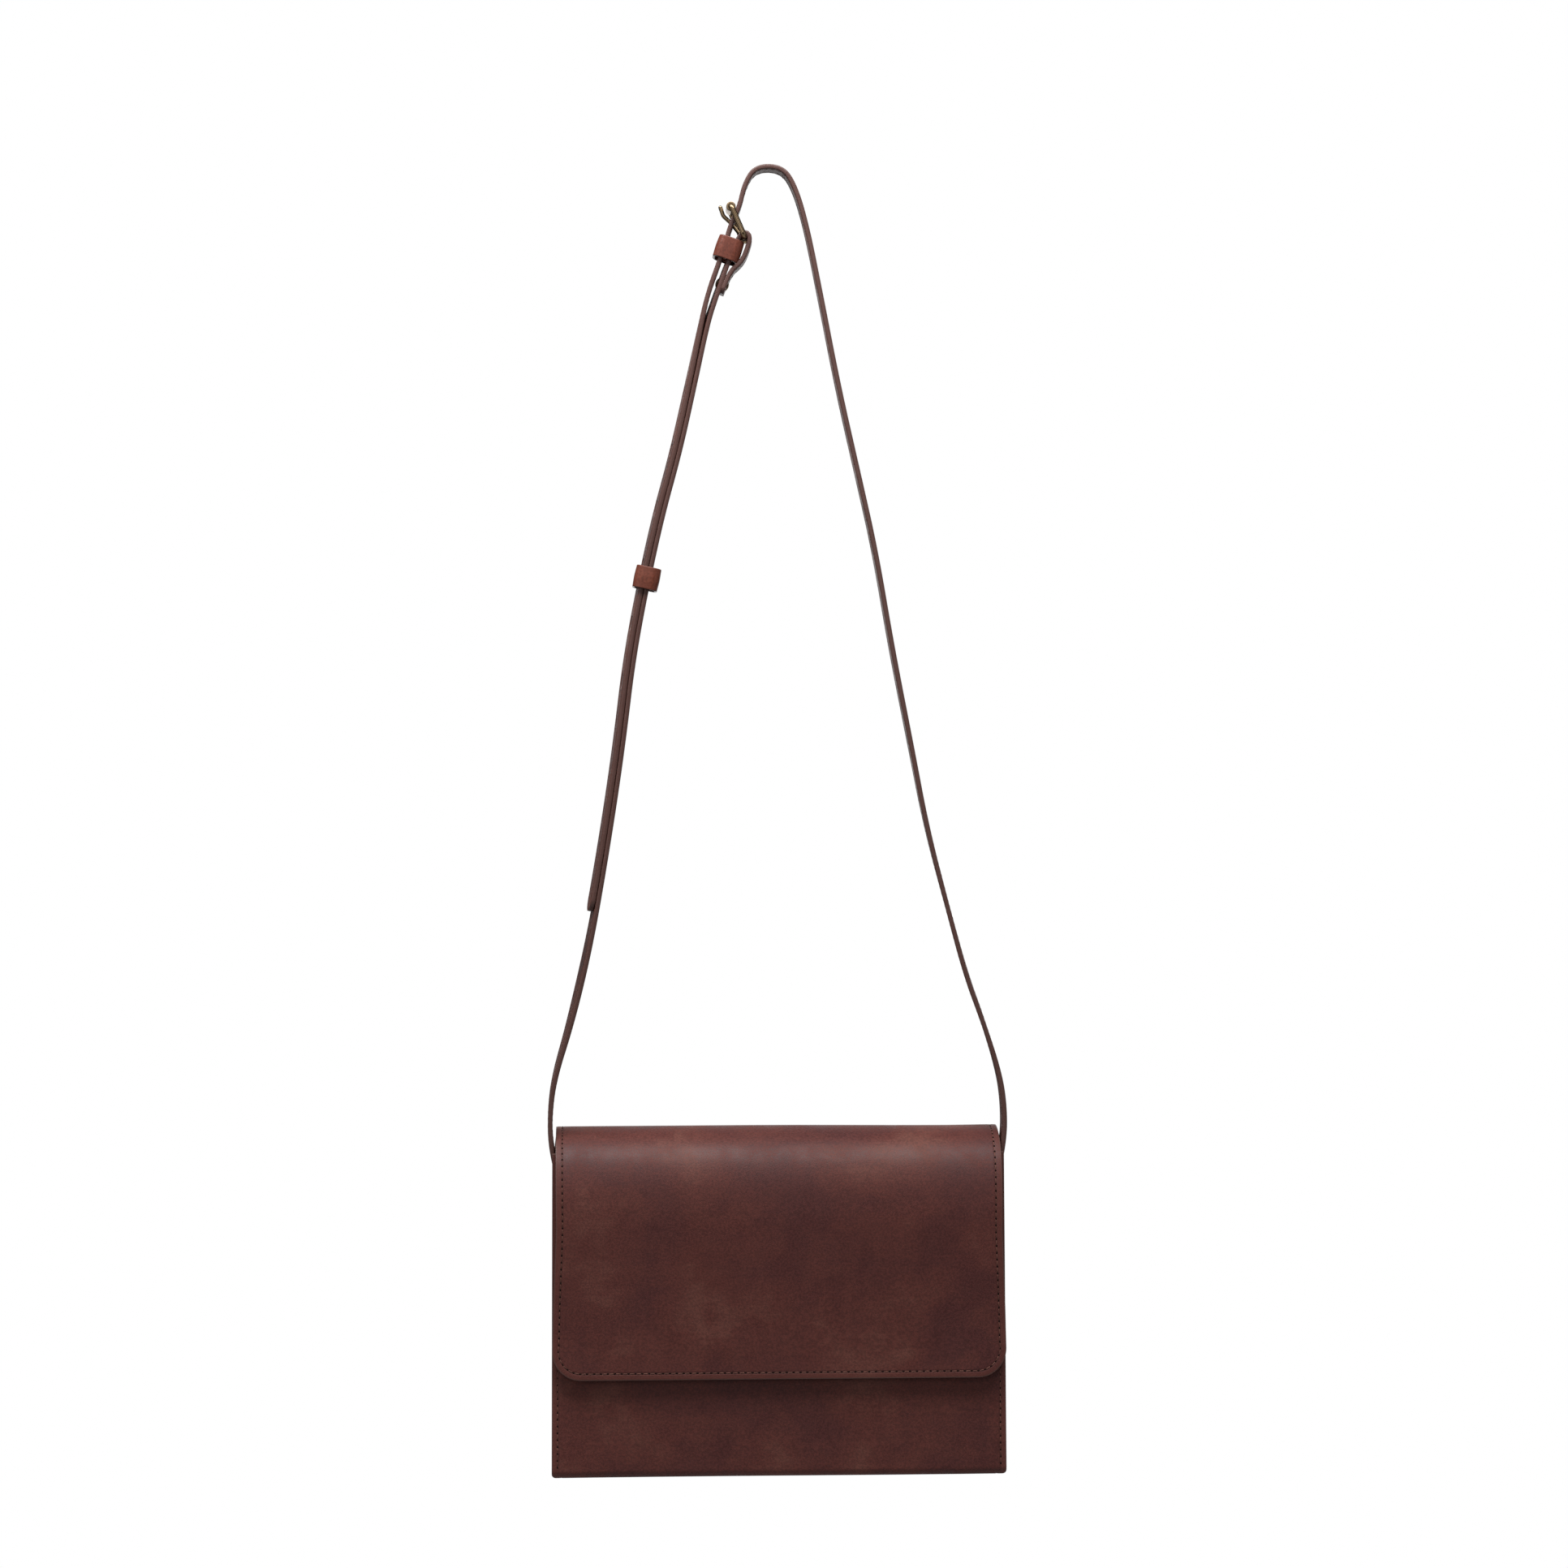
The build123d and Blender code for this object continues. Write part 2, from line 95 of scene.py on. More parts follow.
def softbox(name, place, aim, size, power):
    """A rectangular studio light at a place, facing the point that it is aimed at."""
    light = bpy.data.lights.new(name, "AREA")
    light.shape = "RECTANGLE"
    light.size, light.size_y = size[0] * MM, size[1] * MM
    light.energy = power
    holder = bpy.data.objects.new(name, light)
    reach = np.array(aim, float) - np.array(place, float)
    across = math.hypot(reach[0], reach[1])
    holder.location = np.array(place) * MM
    holder.rotation_euler = (math.atan2(across, -reach[2]), 0, math.atan2(-reach[0], reach[1]))
    scene.collection.objects.link(holder)


softbox("softbox_top", (-120, -400, 700), (0, -20, -560), (1500, 420), 33)
softbox("softbox_front", (-350, -1400, 150), (0, 0, -500), (1200, 600), 3.8)
softbox("softbox_left", (-1500, -700, -100), (0, 0, -400), (400, 1200), 3)
softbox("softbox_right", (1500, -700, -100), (0, 0, -400), (400, 1200), 2)
softbox("softbox_back", (250, 1500, -150), (0, 0, -480), (1600, 900), 6)

scene.world = bpy.data.worlds.new("white_studio")
scene.world.use_nodes = True
air = scene.world.node_tree
air.nodes.clear()
seen = put_node(air, "ShaderNodeLightPath").outputs["Is Camera Ray"]
fill = put_node(air, "ShaderNodeBackground", {"Color": (1, 1, 1, 1), "Strength": 0.12})
paper = put_node(air, "ShaderNodeBackground", {"Color": (1, 1, 1, 1), "Strength": 1.0})
blend = put_node(air, "ShaderNodeMixShader", {0: seen, 1: fill.outputs[0], 2: paper.outputs[0]})
put_node(air, "ShaderNodeOutputWorld", {"Surface": blend.outputs[0]})

floor_mesh = bpy.data.meshes.new("studio_floor")
corners = np.array([(-1, -1, 0), (1, -1, 0), (1, 1, 0), (-1, 1, 0)]) * floor_reach
floor_mesh.from_pydata(((corners + (0, 0, floor_level)) * MM).tolist(), [], [(0, 1, 2, 3)])
floor = bpy.data.objects.new("studio_floor", floor_mesh)
scene.collection.objects.link(floor)
pale = bpy.data.materials.new("pale_floor")
pale.use_nodes = True
tree = pale.node_tree
tree.nodes.clear()
seen = put_node(tree, "ShaderNodeLightPath").outputs["Is Camera Ray"]
matt = put_node(tree, "ShaderNodeBsdfDiffuse", {"Color": (0.5, 0.5, 0.5, 1)})
glow = put_node(tree, "ShaderNodeEmission", {"Strength": 1.0})
blend = put_node(tree, "ShaderNodeMixShader", {0: seen, 1: matt.outputs[0], 2: glow.outputs[0]})
put_node(tree, "ShaderNodeOutputMaterial", {"Surface": blend.outputs[0]})
floor_mesh.materials.append(pale)


# ==== Leather finishes ====
# One vegetable-tanned, oiled hide in several dye lots: cloudy where the oil has gathered, redder
# where it has been pulled, with fine pores, and burnished or painted along its cut edges.
def sums(tree, first, second, how="ADD"):
    """One step of arithmetic between two sockets or numbers."""
    return put_node(tree, "ShaderNodeMath", {0: first, 1: second}, operation=how).outputs[0]


def tint(tree, share, first, second):
    """Two colours mixed by a share."""
    return put_node(tree, "ShaderNodeMix", {0: share, 6: first, 7: second}, data_type="RGBA").outputs[2]


def rising(tree, value, low, high, to_low=0.0, to_high=1.0):
    """A value carried smoothly from one range to another, and held at its ends."""
    inputs = {0: value, 1: low, 2: high, 3: to_low, 4: to_high}
    node = put_node(tree, "ShaderNodeMapRange", inputs, interpolation_type="SMOOTHSTEP")
    return node.outputs[0]


def noise(tree, place, scale, detail=2.0, roughness=0.5, distortion=0.0):
    """Clouds of a scale, from 0 to 1."""
    return put_node(tree, "ShaderNodeTexNoise", {"Vector": place, "Scale": scale, "Detail": detail,
                    "Roughness": roughness, "Distortion": distortion}).outputs[0]


def new_material(name):
    """A material, its node tree, its Principled BSDF and the place on the object."""
    material = bpy.data.materials.new(name)
    material.use_nodes = True
    tree = material.node_tree
    place = put_node(tree, "ShaderNodeTexCoord").outputs["Object"]
    return material, tree, tree.nodes["Principled BSDF"], place


COLOUR, VALUE, PLACE = "NodeSocketColor", "NodeSocketFloat", "NodeSocketVector"
tree = hide_group = bpy.data.node_groups.new("oiled_hide", "ShaderNodeTree")
for label, kind, value in (
    ("Place", PLACE, (0, 0, 0)),
    ("Dark", COLOUR, (0.03, 0.01, 0.008, 1)),
    ("Middle", COLOUR, (0.08, 0.025, 0.018, 1)),
    ("Warm", COLOUR, (0.12, 0.035, 0.02, 1)),
    ("Cloud size", VALUE, 24.0),
    ("Gloss", VALUE, 0.4),
):
    tree.interface.new_socket(name=label, in_out="INPUT", socket_type=kind).default_value = value
for label, kind in (("Color", COLOUR), ("Roughness", VALUE), ("Height", VALUE)):
    tree.interface.new_socket(name=label, in_out="OUTPUT", socket_type=kind)
given = tree.nodes.new("NodeGroupInput").outputs
place = given["Place"]
cloud = noise(tree, place, given["Cloud size"], 3.0, 0.55, 0.3)
patch = noise(tree, place, sums(tree, given["Cloud size"], 3.7, "MULTIPLY"), 5.0, 0.6, 0.5)
drawn = put_node(tree, "ShaderNodeVectorMath", {0: place, 1: (70.0, 70.0, 520.0)}, operation="MULTIPLY")
streak = noise(tree, drawn.outputs[0], 1.0, 4.0, 0.7)
fleck = noise(tree, place, 900.0, 2.0, 0.6)
pores = put_node(tree, "ShaderNodeTexVoronoi", {"Vector": place, "Scale": 1150.0},
                 feature="F1").outputs["Distance"]
creases = put_node(tree, "ShaderNodeTexVoronoi", {"Vector": place, "Scale": 620.0},
                   feature="DISTANCE_TO_EDGE").outputs["Distance"]
shade = sums(tree, sums(tree, cloud, 0.6, "MULTIPLY"), sums(tree, patch, 0.24, "MULTIPLY"))
shade = sums(tree, shade, sums(tree, streak, 0.16, "MULTIPLY"))
body_colour = tint(tree, rising(tree, shade, 0.38, 0.52), given["Dark"], given["Middle"])
body_colour = tint(tree, rising(tree, shade, 0.50, 0.62), body_colour, given["Warm"])
speckle = rising(tree, fleck, 0.35, 0.65, 0.78, 1.14)
speckled = put_node(tree, "ShaderNodeVectorMath", {0: body_colour, 1: speckle}, operation="MULTIPLY")
rough = sums(tree, given["Gloss"], rising(tree, patch, 0.3, 0.7, -0.05, 0.08))
rough = sums(tree, rough, rising(tree, fleck, 0.3, 0.7, -0.03, 0.06))
height = sums(tree, sums(tree, rising(tree, pores, 0.0, 0.45), 0.45, "MULTIPLY"),
              sums(tree, rising(tree, creases, 0.0, 0.12), 0.35, "MULTIPLY"))
height = sums(tree, height, sums(tree, fleck, 0.4, "MULTIPLY"))
put_node(tree, "NodeGroupOutput", {"Color": speckled.outputs[0], "Roughness": rough, "Height": height})


def leather(name, dark, middle, warm, gloss=0.4, cloud_size=24.0, relief=0.05, edge=None, channel=None,
            coat=0.05, shift=(0, 0, 0)):
    """Leather of one dye lot.  With an edge colour, the "rim" of a piece is painted and burnished, and its
    colour is mixed toward a lighter, warmer brown within five millimetres of it; with a channel, painted
    shade darkens the line that far from the rim, where the thread is sunk."""
    material, tree, skin, place = new_material(name)
    place = put_node(tree, "ShaderNodeMapping", {"Vector": place, "Location": shift}).outputs[0]
    hide = put_node(tree, "ShaderNodeGroup", {
        "Place": place, "Dark": (*dark, 1), "Middle": (*middle, 1), "Warm": (*warm, 1),
        "Cloud size": cloud_size, "Gloss": gloss,
    }, node_tree=hide_group)
    colour, roughness = hide.outputs["Color"], hide.outputs["Roughness"]
    if edge is not None:
        rim = put_node(tree, "ShaderNodeAttribute", attribute_name="rim").outputs["Fac"]
        # Within five millimetres of the rim the colour is mixed toward a lighter, warmer brown.
        rim_lightening = rising(tree, rim, 0.5, 5.0, 0.6, 0.0)
        colour = tint(tree, rim_lightening, colour, (*[0.5 * (m + w) for m, w in zip(middle, warm)], 1))
        if channel is not None:
            # Painted shade: the colour is darkened along the stitch groove, at the channel's distance from
            # the rim.
            off = sums(tree, sums(tree, rim, channel, "SUBTRACT"), 0.0, "ABSOLUTE")
            sunk = rising(tree, off, 0.2, 0.9, 0.25, 0.0)
            colour = tint(tree, sunk, colour, (*[0.5 * c for c in dark], 1))
        painted = rising(tree, rim, 0.15, 0.7, 1.0, 0.0)
        colour = tint(tree, painted, colour, (*edge, 1))
        roughness = sums(tree, roughness, sums(tree, painted, 0.12, "MULTIPLY"), "SUBTRACT")
    bump = put_node(tree, "ShaderNodeBump", {"Height": hide.outputs["Height"], "Distance": relief * MM,
                    "Strength": 1.0})
    set_inputs(tree, skin, {"Base Color": colour, "Roughness": roughness, "Normal": bump.outputs[0],
               "Coat Weight": coat, "Coat Roughness": 0.32, "Specular IOR Level": 0.28})
    return material


edge_paint = (0.075, 0.036, 0.030)
# Its stitch channel, 3.3 mm in from the rim, gets painted shade.
wrap_finish = leather("wrap_leather", (0.056, 0.013, 0.0112), (0.074, 0.0175, 0.013),
                      (0.094, 0.0285, 0.0205), gloss=0.57, cloud_size=19.0, edge=edge_paint,
                      channel=3.3, coat=0.0)


# ==== Wrap: front, bottom and back ====
# One hide, folded twice round the bottom, is the front, the bottom and the back.
# Its side edges are sewn to the gussets with one row of stitches, and painted.
def box_mm(node):
    """Lowest and highest corner of a CAD node, in millimetres."""
    low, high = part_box(node)
    return np.array(low) / MM, np.array(high) / MM


wrap_low, wrap_high = box_mm("body_panel")
flap_low, flap_high = box_mm("flap_leather")
middle_x = (wrap_low[0] + wrap_high[0]) / 2
proud = 0.3
half_bag = (wrap_high[0] - wrap_low[0]) / 2 + proud
front, back = wrap_low[1], wrap_high[1]
sag = 0.7
base, mouth = wrap_low[2] - sag, wrap_high[2]
crest, flap_end, flap_front = flap_high[2] + proud, flap_low[2] + proud, flap_low[1]
panel = 2.0
flap_skin = 1.8
mouth_depth = 32.0
bottom_fold = 4.0
join_level = base + 7.0


def turtle(start, heading, legs, soften=0.0, spacing=0.2):
    """A line in Y and Z from legs of (length, degrees turned): its heading is the running sum of
    the turn, and its place is the running sum of the heading's direction.  Softening spreads each
    bend over that length.  Gives length, place and heading at every step."""
    steps = [max(2, int(round(length / spacing))) for length, _ in legs]
    lengths = np.concatenate([np.full(n, leg[0] / n) for n, leg in zip(steps, legs)])
    turns = np.concatenate([np.full(n, math.radians(leg[1]) / n) for n, leg in zip(steps, legs)])
    if soften:
        reach = np.arange(-int(3 * soften / spacing), int(3 * soften / spacing) + 1)
        spread = np.exp(-0.5 * (reach * spacing / soften) ** 2)
        turns = np.convolve(turns, spread / spread.sum(), "same")
    angle = math.radians(heading) + np.cumsum(turns) - turns / 2
    path = np.cumsum(lengths[:, None] * np.column_stack([np.cos(angle), np.sin(angle)]), axis=0)
    path = np.vstack([[0, 0], path]) + start
    angle = math.radians(heading) + np.concatenate([[0], np.cumsum(turns)])
    return {"length": np.concatenate([[0], np.cumsum(lengths)]), "place": path, "heading": angle}


def on_line(line, along, x, depth):
    """Points of a sheet that is carried across the bag: a length along its line, an X, and a depth
    under its outside, which is on the right of the line."""
    y = np.interp(along, line["length"], line["place"][:, 0])
    z = np.interp(along, line["length"], line["place"][:, 1])
    angle = np.interp(along, line["length"], line["heading"])
    y, z, x, depth = np.broadcast_arrays(y - depth * np.sin(angle), z + depth * np.cos(angle), x, depth)
    return np.stack([x, y, z], axis=-1)


def outward(line, along):
    """The outward normal of that sheet at a length along its line."""
    angle = np.interp(along, line["length"], line["heading"])
    return np.stack([0 * angle, np.sin(angle), -np.cos(angle)], axis=-1)


def grid_faces(rows, columns, first=0, loop_rows=False, loop_columns=False, turned=False):
    """Quads that join neighbours in a grid of points, numbered row by row."""
    down = np.arange(rows if loop_rows else rows - 1)[:, None]
    over = np.arange(columns if loop_columns else columns - 1)[None, :]
    next_down, next_over = (down + 1) % rows, (over + 1) % columns
    quads = [down * columns + over, next_down * columns + over,
             next_down * columns + next_over, down * columns + next_over]
    quads = np.stack([q.ravel() for q in np.broadcast_arrays(*quads)], axis=1) + first
    return quads[:, ::-1] if turned else quads


least_edge = 0.001
bevel_from = math.radians(50)


def make_piece(name, points, faces, materials, which=None, rim=None, bevel=0.0, merge=0.0):
    """An object from points in millimetres and faces; rim is each point's distance from the edge.
    Faces without an area are dissolved and the rest turned outward, for the bevels and the punch."""
    mesh = bpy.data.meshes.new(name)
    mesh.from_pydata((np.asarray(points) * MM).tolist(), [], [list(map(int, f)) for f in faces])
    for material in materials:
        mesh.materials.append(material)
    if which is not None:
        mesh.polygons.foreach_set("material_index", np.asarray(which, np.int32))
    if rim is not None:
        attribute = mesh.attributes.new("rim", "FLOAT", "POINT")
        attribute.data.foreach_set("value", np.asarray(rim, np.float32))
    mesh.polygons.foreach_set("use_smooth", np.ones(len(mesh.polygons), bool))
    mesh.validate()
    shell = bmesh.new()
    shell.from_mesh(mesh)
    bmesh.ops.dissolve_degenerate(shell, dist=least_edge * MM, edges=shell.edges)
    bmesh.ops.recalc_face_normals(shell, faces=shell.faces)
    shell.to_mesh(mesh)
    shell.free()
    piece = bpy.data.objects.new(name, mesh)
    scene.collection.objects.link(piece)
    if merge:
        weld = piece.modifiers.new("weld", "WELD")
        weld.merge_threshold = merge * MM
    if bevel:
        rounding = piece.modifiers.new("rounded_edges", "BEVEL")
        rounding.width = bevel * MM
        rounding.segments = 3
        rounding.limit_method = "ANGLE"
        rounding.angle_limit = bevel_from
    return piece


def slab(name, outside, inside, rim, materials, bevel=0.5):
    """A sheet of leather from two grids of points, its outside and its inside, closed round its
    border.  Its inside faces take the second material."""
    rows, columns = outside.shape[:2]
    count = rows * columns
    skin = grid_faces(rows, columns)
    flesh = grid_faces(rows, columns, first=count, turned=True)
    number = np.arange(count).reshape(rows, columns)
    ring = np.concatenate([number[0, :-1], number[:-1, -1], number[-1, :0:-1], number[:0:-1, 0]])
    after = np.roll(ring, -1)
    border = np.stack([ring, ring + count, after + count, after], axis=1)
    a, b, c = outside[0, 0], outside[1, 0], outside[0, 1]
    if np.dot(np.cross(b - a, c - a), outside[0, 0] - inside[0, 0]) < 0:
        skin, flesh, border = skin[:, ::-1], flesh[:, ::-1], border[:, ::-1]
    points = np.concatenate([outside.reshape(-1, 3), inside.reshape(-1, 3)])
    which = np.concatenate([np.zeros(len(skin)), np.ones(len(flesh)), np.zeros(len(border))])
    rims = np.concatenate([np.ravel(rim), np.ravel(rim)])
    return make_piece(name, points, np.concatenate([skin, flesh, border]), materials, which, rims, bevel)


near_rim = np.array([0, 0.25, 0.6, 1.1, 1.7, 2.15, 2.5, 2.9, 3.3, 3.7, 4.1, 4.7, 5.6, 7, 9, 12, 16])


def across(half, spacing=3.2):
    """Shares of a half-width from -1 to 1, close together beside both edges."""
    inner = half - near_rim[-1]
    middle = np.linspace(-inner, inner, int(2 * inner / spacing))[1:-1]
    return np.concatenate([near_rim - half, middle, (half - near_rim)[::-1]]) / half


flesh_finish = leather("flesh_side", (0.045, 0.020, 0.014), (0.085, 0.036, 0.024), (0.12, 0.052, 0.034),
                       gloss=0.78, relief=0.12, coat=0.0)
lean = math.degrees(math.atan2(base - mouth, front - (back - mouth_depth)))
front_length = math.hypot(back - mouth_depth - front, mouth - base)
front_turn = -lean
lower_cut = bottom_fold * math.tan(math.radians(front_turn) / 2)
wrap_line = turtle((back - mouth_depth, mouth), lean, [
    (front_length - lower_cut, 0),
    (bottom_fold * math.radians(front_turn), front_turn),
    (back - front - lower_cut - bottom_fold, 0),
    (bottom_fold * math.pi / 2, 90),
    (join_level - base - bottom_fold, 0),
])
wrap_length = wrap_line["length"][-1]
bottom_corner = 2.5
side_margin = 2.9
groove_half = 0.6


def soft_wave(x, along, seed, size):
    """Low, slow unevenness of a hide: five crossing sine waves of random length and phase."""
    source = np.random.default_rng(seed)
    total = 0.0
    for _ in range(5):
        stretch = source.uniform(0.012, 0.045, 2) * source.choice([-1, 1], 2)
        total = total + np.sin(stretch[0] * x + stretch[1] * along + source.uniform(0, 6.3))
    return size * total / 5


along = np.concatenate([near_rim, np.linspace(near_rim[-1], front_length - 8, 60)[1:],
                        np.linspace(front_length - 8, wrap_length, 90)[1:]])
share = across(half_bag)
level = np.interp(along, wrap_line["length"], wrap_line["place"][:, 1])
low_corner = np.clip(bottom_corner - (level - base), 0, bottom_corner)
half_width = half_bag - (bottom_corner - np.sqrt(bottom_corner**2 - low_corner**2))
x = share[None, :] * half_width[:, None]
rim = np.minimum(half_width[:, None] - np.abs(x), along[:, None])
run = along[:, None] + 0 * x
belly = np.clip(1 - (x / half_bag) ** 2, 0, 1) * np.sin(np.clip(run / front_length, 0, 1) * math.pi) ** 2
sunk = 0.16 * np.exp(-((((half_width[:, None] - np.abs(x)) - side_margin) / groove_half) ** 4))
outside_depth = sunk - 1.3 * belly + soft_wave(x, run, 3, 0.25) * np.clip(rim / 20, 0, 1)
wrap = slab(
    "wrap_hide",
    on_line(wrap_line, run, x + middle_x, outside_depth),
    on_line(wrap_line, run, x + middle_x, np.minimum(outside_depth, 0) + panel),
    rim,
    [wrap_finish, flesh_finish],
)
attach(wrap, "root")
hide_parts("body_panel")

# ==== Flap ====
# The back's hide goes on over the top, rolls to the front and hangs down as the flap.  It is
# narrower over the mouth, has round lower corners, and is stitched all round near its edge.
roll_back = 7.0
front_roll = [(22.5, 30), (14, 35), (14, 15), (20, 10)]
roll_drop = 49.1
roll_reach = 36.74
curl_length = 30.0
curl = -6.0
flap_corner = 15.0
flap_margin = 3.3
flap_line = turtle((back, join_level), 90, [
    (crest - roll_back - join_level, 0),
    (roll_back * math.pi / 2, 90),
    (back - flap_front - roll_back - roll_reach, 0),
    *front_roll,
    (crest - roll_drop - flap_end - curl_length, 0),
    (curl_length, curl),
], soften=2.2)
flap_length = flap_line["length"][-1]
fold_at = mouth - join_level
front_at = flap_length - (crest - roll_drop - flap_end)
width_along = [0, fold_at - 4, fold_at + 8, front_at, front_at + 40, flap_length]
half_widths = [half_bag, half_bag, 113.4, 112.6, 114.1, 114.9]


def flap_half(run):
    """Half the flap's width at a length along its line, with its lower corners as quarter circles."""
    over = np.clip(run - (flap_length - flap_corner), 0, flap_corner)
    return np.interp(run, width_along, half_widths) - flap_corner + np.sqrt(flap_corner**2 - over**2)


def flap_rim(run, x):
    """Distance of a point of the flap from its outline, a rectangle with two round corners."""
    side = np.abs(x) - (np.interp(run, width_along, half_widths) - flap_corner)
    lower = run - (flap_length - flap_corner)
    outside = np.hypot(np.clip(side, 0, None), np.clip(lower, 0, None))
    return flap_corner - outside - np.minimum(np.maximum(side, lower), 0)


def flap_depth(run, x):
    """How far the flap's outside lies under its line: the sunk stitch row and the slow waves."""
    rim = flap_rim(run, x)
    loose = np.clip((run - front_at) / 60, 0, 1)
    wave = soft_wave(x, run, 8, 0.45) * np.clip(rim / 25, 0, 1)
    swell = -0.5 * loose * np.clip(1 - (x / half_bag) ** 2, 0, 1) * np.clip(rim / 20, 0, 1)
    eased = 0.22 * np.exp(-rim / 0.6) * np.clip((run - fold_at) / 20, 0, 1)
    return 0.17 * np.exp(-(((rim - flap_margin) / groove_half) ** 4)) + wave + swell + eased


turned_corner = flap_length - flap_corner + flap_corner * np.sin(np.linspace(0, math.pi / 2, 26))
along = np.unique(np.round(np.concatenate([
    np.linspace(0, fold_at - 6, 50), np.linspace(fold_at - 6, front_at + 6, 70),
    np.linspace(front_at + 6, flap_length - flap_corner, 44), turned_corner, flap_length - near_rim[:14],
]), 3))
share = across(half_bag)
x = share[None, :] * flap_half(along)[:, None]
run = along[:, None] + 0 * x
outside_depth = flap_depth(run, x)
skin = np.interp(run, [fold_at - 10, fold_at + 10], [panel, flap_skin])
flap = slab(
    "flap_hide",
    on_line(flap_line, run, x + middle_x, outside_depth),
    on_line(flap_line, run, x + middle_x, skin),
    np.where(run < 5, np.minimum(half_bag - np.abs(x), 20), flap_rim(run, x)),
    [wrap_finish, flesh_finish],
    bevel=0.45,
)
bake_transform(flap)
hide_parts("flap_leather")

# ==== Flap lining ====
# A thinner layer of smooth leather glued inside the flap and caught by the same stitches;
# it ends a finger's breadth down inside the back.
lining = 1.2
lining_inset = 0.15
lining_finish = leather("lining_leather", (0.050, 0.021, 0.016), (0.085, 0.034, 0.025), (0.12, 0.048, 0.034),
                        gloss=0.6, relief=0.04, coat=0.0, edge=edge_paint, shift=(0.4, 0.1, 0.2))
along = np.unique(np.round(np.concatenate([
    np.linspace(fold_at - 12, front_at + 6, 70), np.linspace(front_at + 6, flap_length - flap_corner, 40),
    turned_corner - lining_inset, flap_length - lining_inset - near_rim[:12],
]), 3))
along = along[along <= flap_length - lining_inset]
lining_half = flap_half(along + lining_inset) - lining_inset - 3.2 * (along < fold_at - 4)
x = share[None, :] * lining_half[:, None]
run = along[:, None] + 0 * x
inner_edge = np.minimum(flap_rim(run, x), run - (fold_at - 12))
lining_piece = slab(
    "flap_lining_hide",
    on_line(flap_line, run, x + middle_x, flap_skin + lining),
    on_line(flap_line, run, x + middle_x, np.interp(run, [fold_at - 10, fold_at + 10], [panel, flap_skin])),
    inner_edge,
    [lining_finish, flesh_finish],
    bevel=0.3,
)
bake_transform(lining_piece)
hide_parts("flap_lining")

# ==== Gussets ====
# Two leather side pieces, each a shallow tray that opens outwards: its lip is glued and sewn
# inside the edge of the wrap, and its wall stands in from that edge and gives a little at the top.
gusset = 1.6
flange = 6.6
gusset_bend = 2.4
gusset_finish = leather("gusset_leather", (0.034, 0.0125, 0.010), (0.066, 0.021, 0.016), (0.10, 0.031, 0.020),
                        gloss=0.44, edge=edge_paint, shift=(0.7, 0.2, 0.5))


def gusset_face(side, inset):
    """One face of a gusset's tray.  Rows go down the front, along the bottom and up the back just
    inside the wrap; columns go from the lip's edge in, round the bend, and over the wall to its
    middle line.  The inset is the depth under the face that is glued to the wrap."""
    shrink = panel + inset
    slope = (back - mouth_depth - front) / (mouth - base)
    upright = 1 / math.cos(math.atan(slope))
    floor_z = base + shrink
    fold = max(bottom_fold - shrink, 0.5)
    front_z = np.linspace(mouth, floor_z + fold, 60)
    front_y = front + shrink * upright + (front_z - base) * slope
    turn = np.linspace(0, math.pi / 2, 10)
    foot_y = front + shrink * upright + (floor_z - base) * slope
    foot_bend = foot_y + fold * (1 - np.cos(turn)) + 0.07 * fold * np.cos(turn)
    heel_bend = back - shrink - fold * (1 - np.sin(turn))
    foot_rise, heel_rise = floor_z + fold * (1 - np.sin(turn)), floor_z + fold * (1 - np.cos(turn))
    flat_y = np.linspace(foot_y + fold, back - shrink - fold, 14)[1:-1]
    y = np.concatenate([front_y[:-1], foot_bend, flat_y, heel_bend, np.full(59, back - shrink)])
    z = np.concatenate([front_z[:-1], foot_rise, np.full(12, floor_z), heel_rise, front_z[::-1][1:]])
    centre_z = np.maximum(z, base + 20.0)
    centre_y = (front + shrink * upright + (centre_z - base) * slope + back - shrink) / 2
    bend = max(gusset_bend - inset, 0.5)
    depth = flange - inset
    reach = np.hypot(centre_y - y, centre_z - z)
    lip = np.array([0, 0.3, 0.8, 1.5, 2.4, 3.4]) / 3.4 * (depth - bend)
    arc = np.linspace(0, math.pi / 2, 7)[1:]
    wall = np.linspace(0, 1, 16)[1:] ** 1.3
    out = np.concatenate([lip, depth - bend + bend * np.sin(arc), np.full(15, depth)])
    inward = np.concatenate([np.zeros(6), bend * (1 - np.cos(arc))])
    share = np.concatenate([inward[None, :] / reach[:, None],
                            bend / reach[:, None] + (1 - bend / reach[:, None]) * wall[None, :]], axis=1)
    y = y[:, None] + (centre_y - y)[:, None] * share
    z = z[:, None] + (centre_z - z)[:, None] * share
    slack = 2.6 * np.sin(math.pi / 2 * share) ** 2 * np.clip((z - base - 25) / 110, 0, 1) ** 1.5
    edge = middle_x + side * half_bag
    return np.stack([edge - side * (out[None, :] + slack), y, z], axis=-1), np.broadcast_to(out, y.shape)


for side, label in ((-1, "gusset_left"), (1, "gusset_right")):
    glued, out = gusset_face(side, 0.0)
    shown, _ = gusset_face(side, gusset)
    top_edge = np.clip(mouth - glued[..., 2], 0, 30)
    piece = slab(label + "_hide", shown, glued, np.minimum(out, top_edge),
                 [gusset_finish, flesh_finish], bevel=0.35)
    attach(piece, "root")
    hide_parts(label)

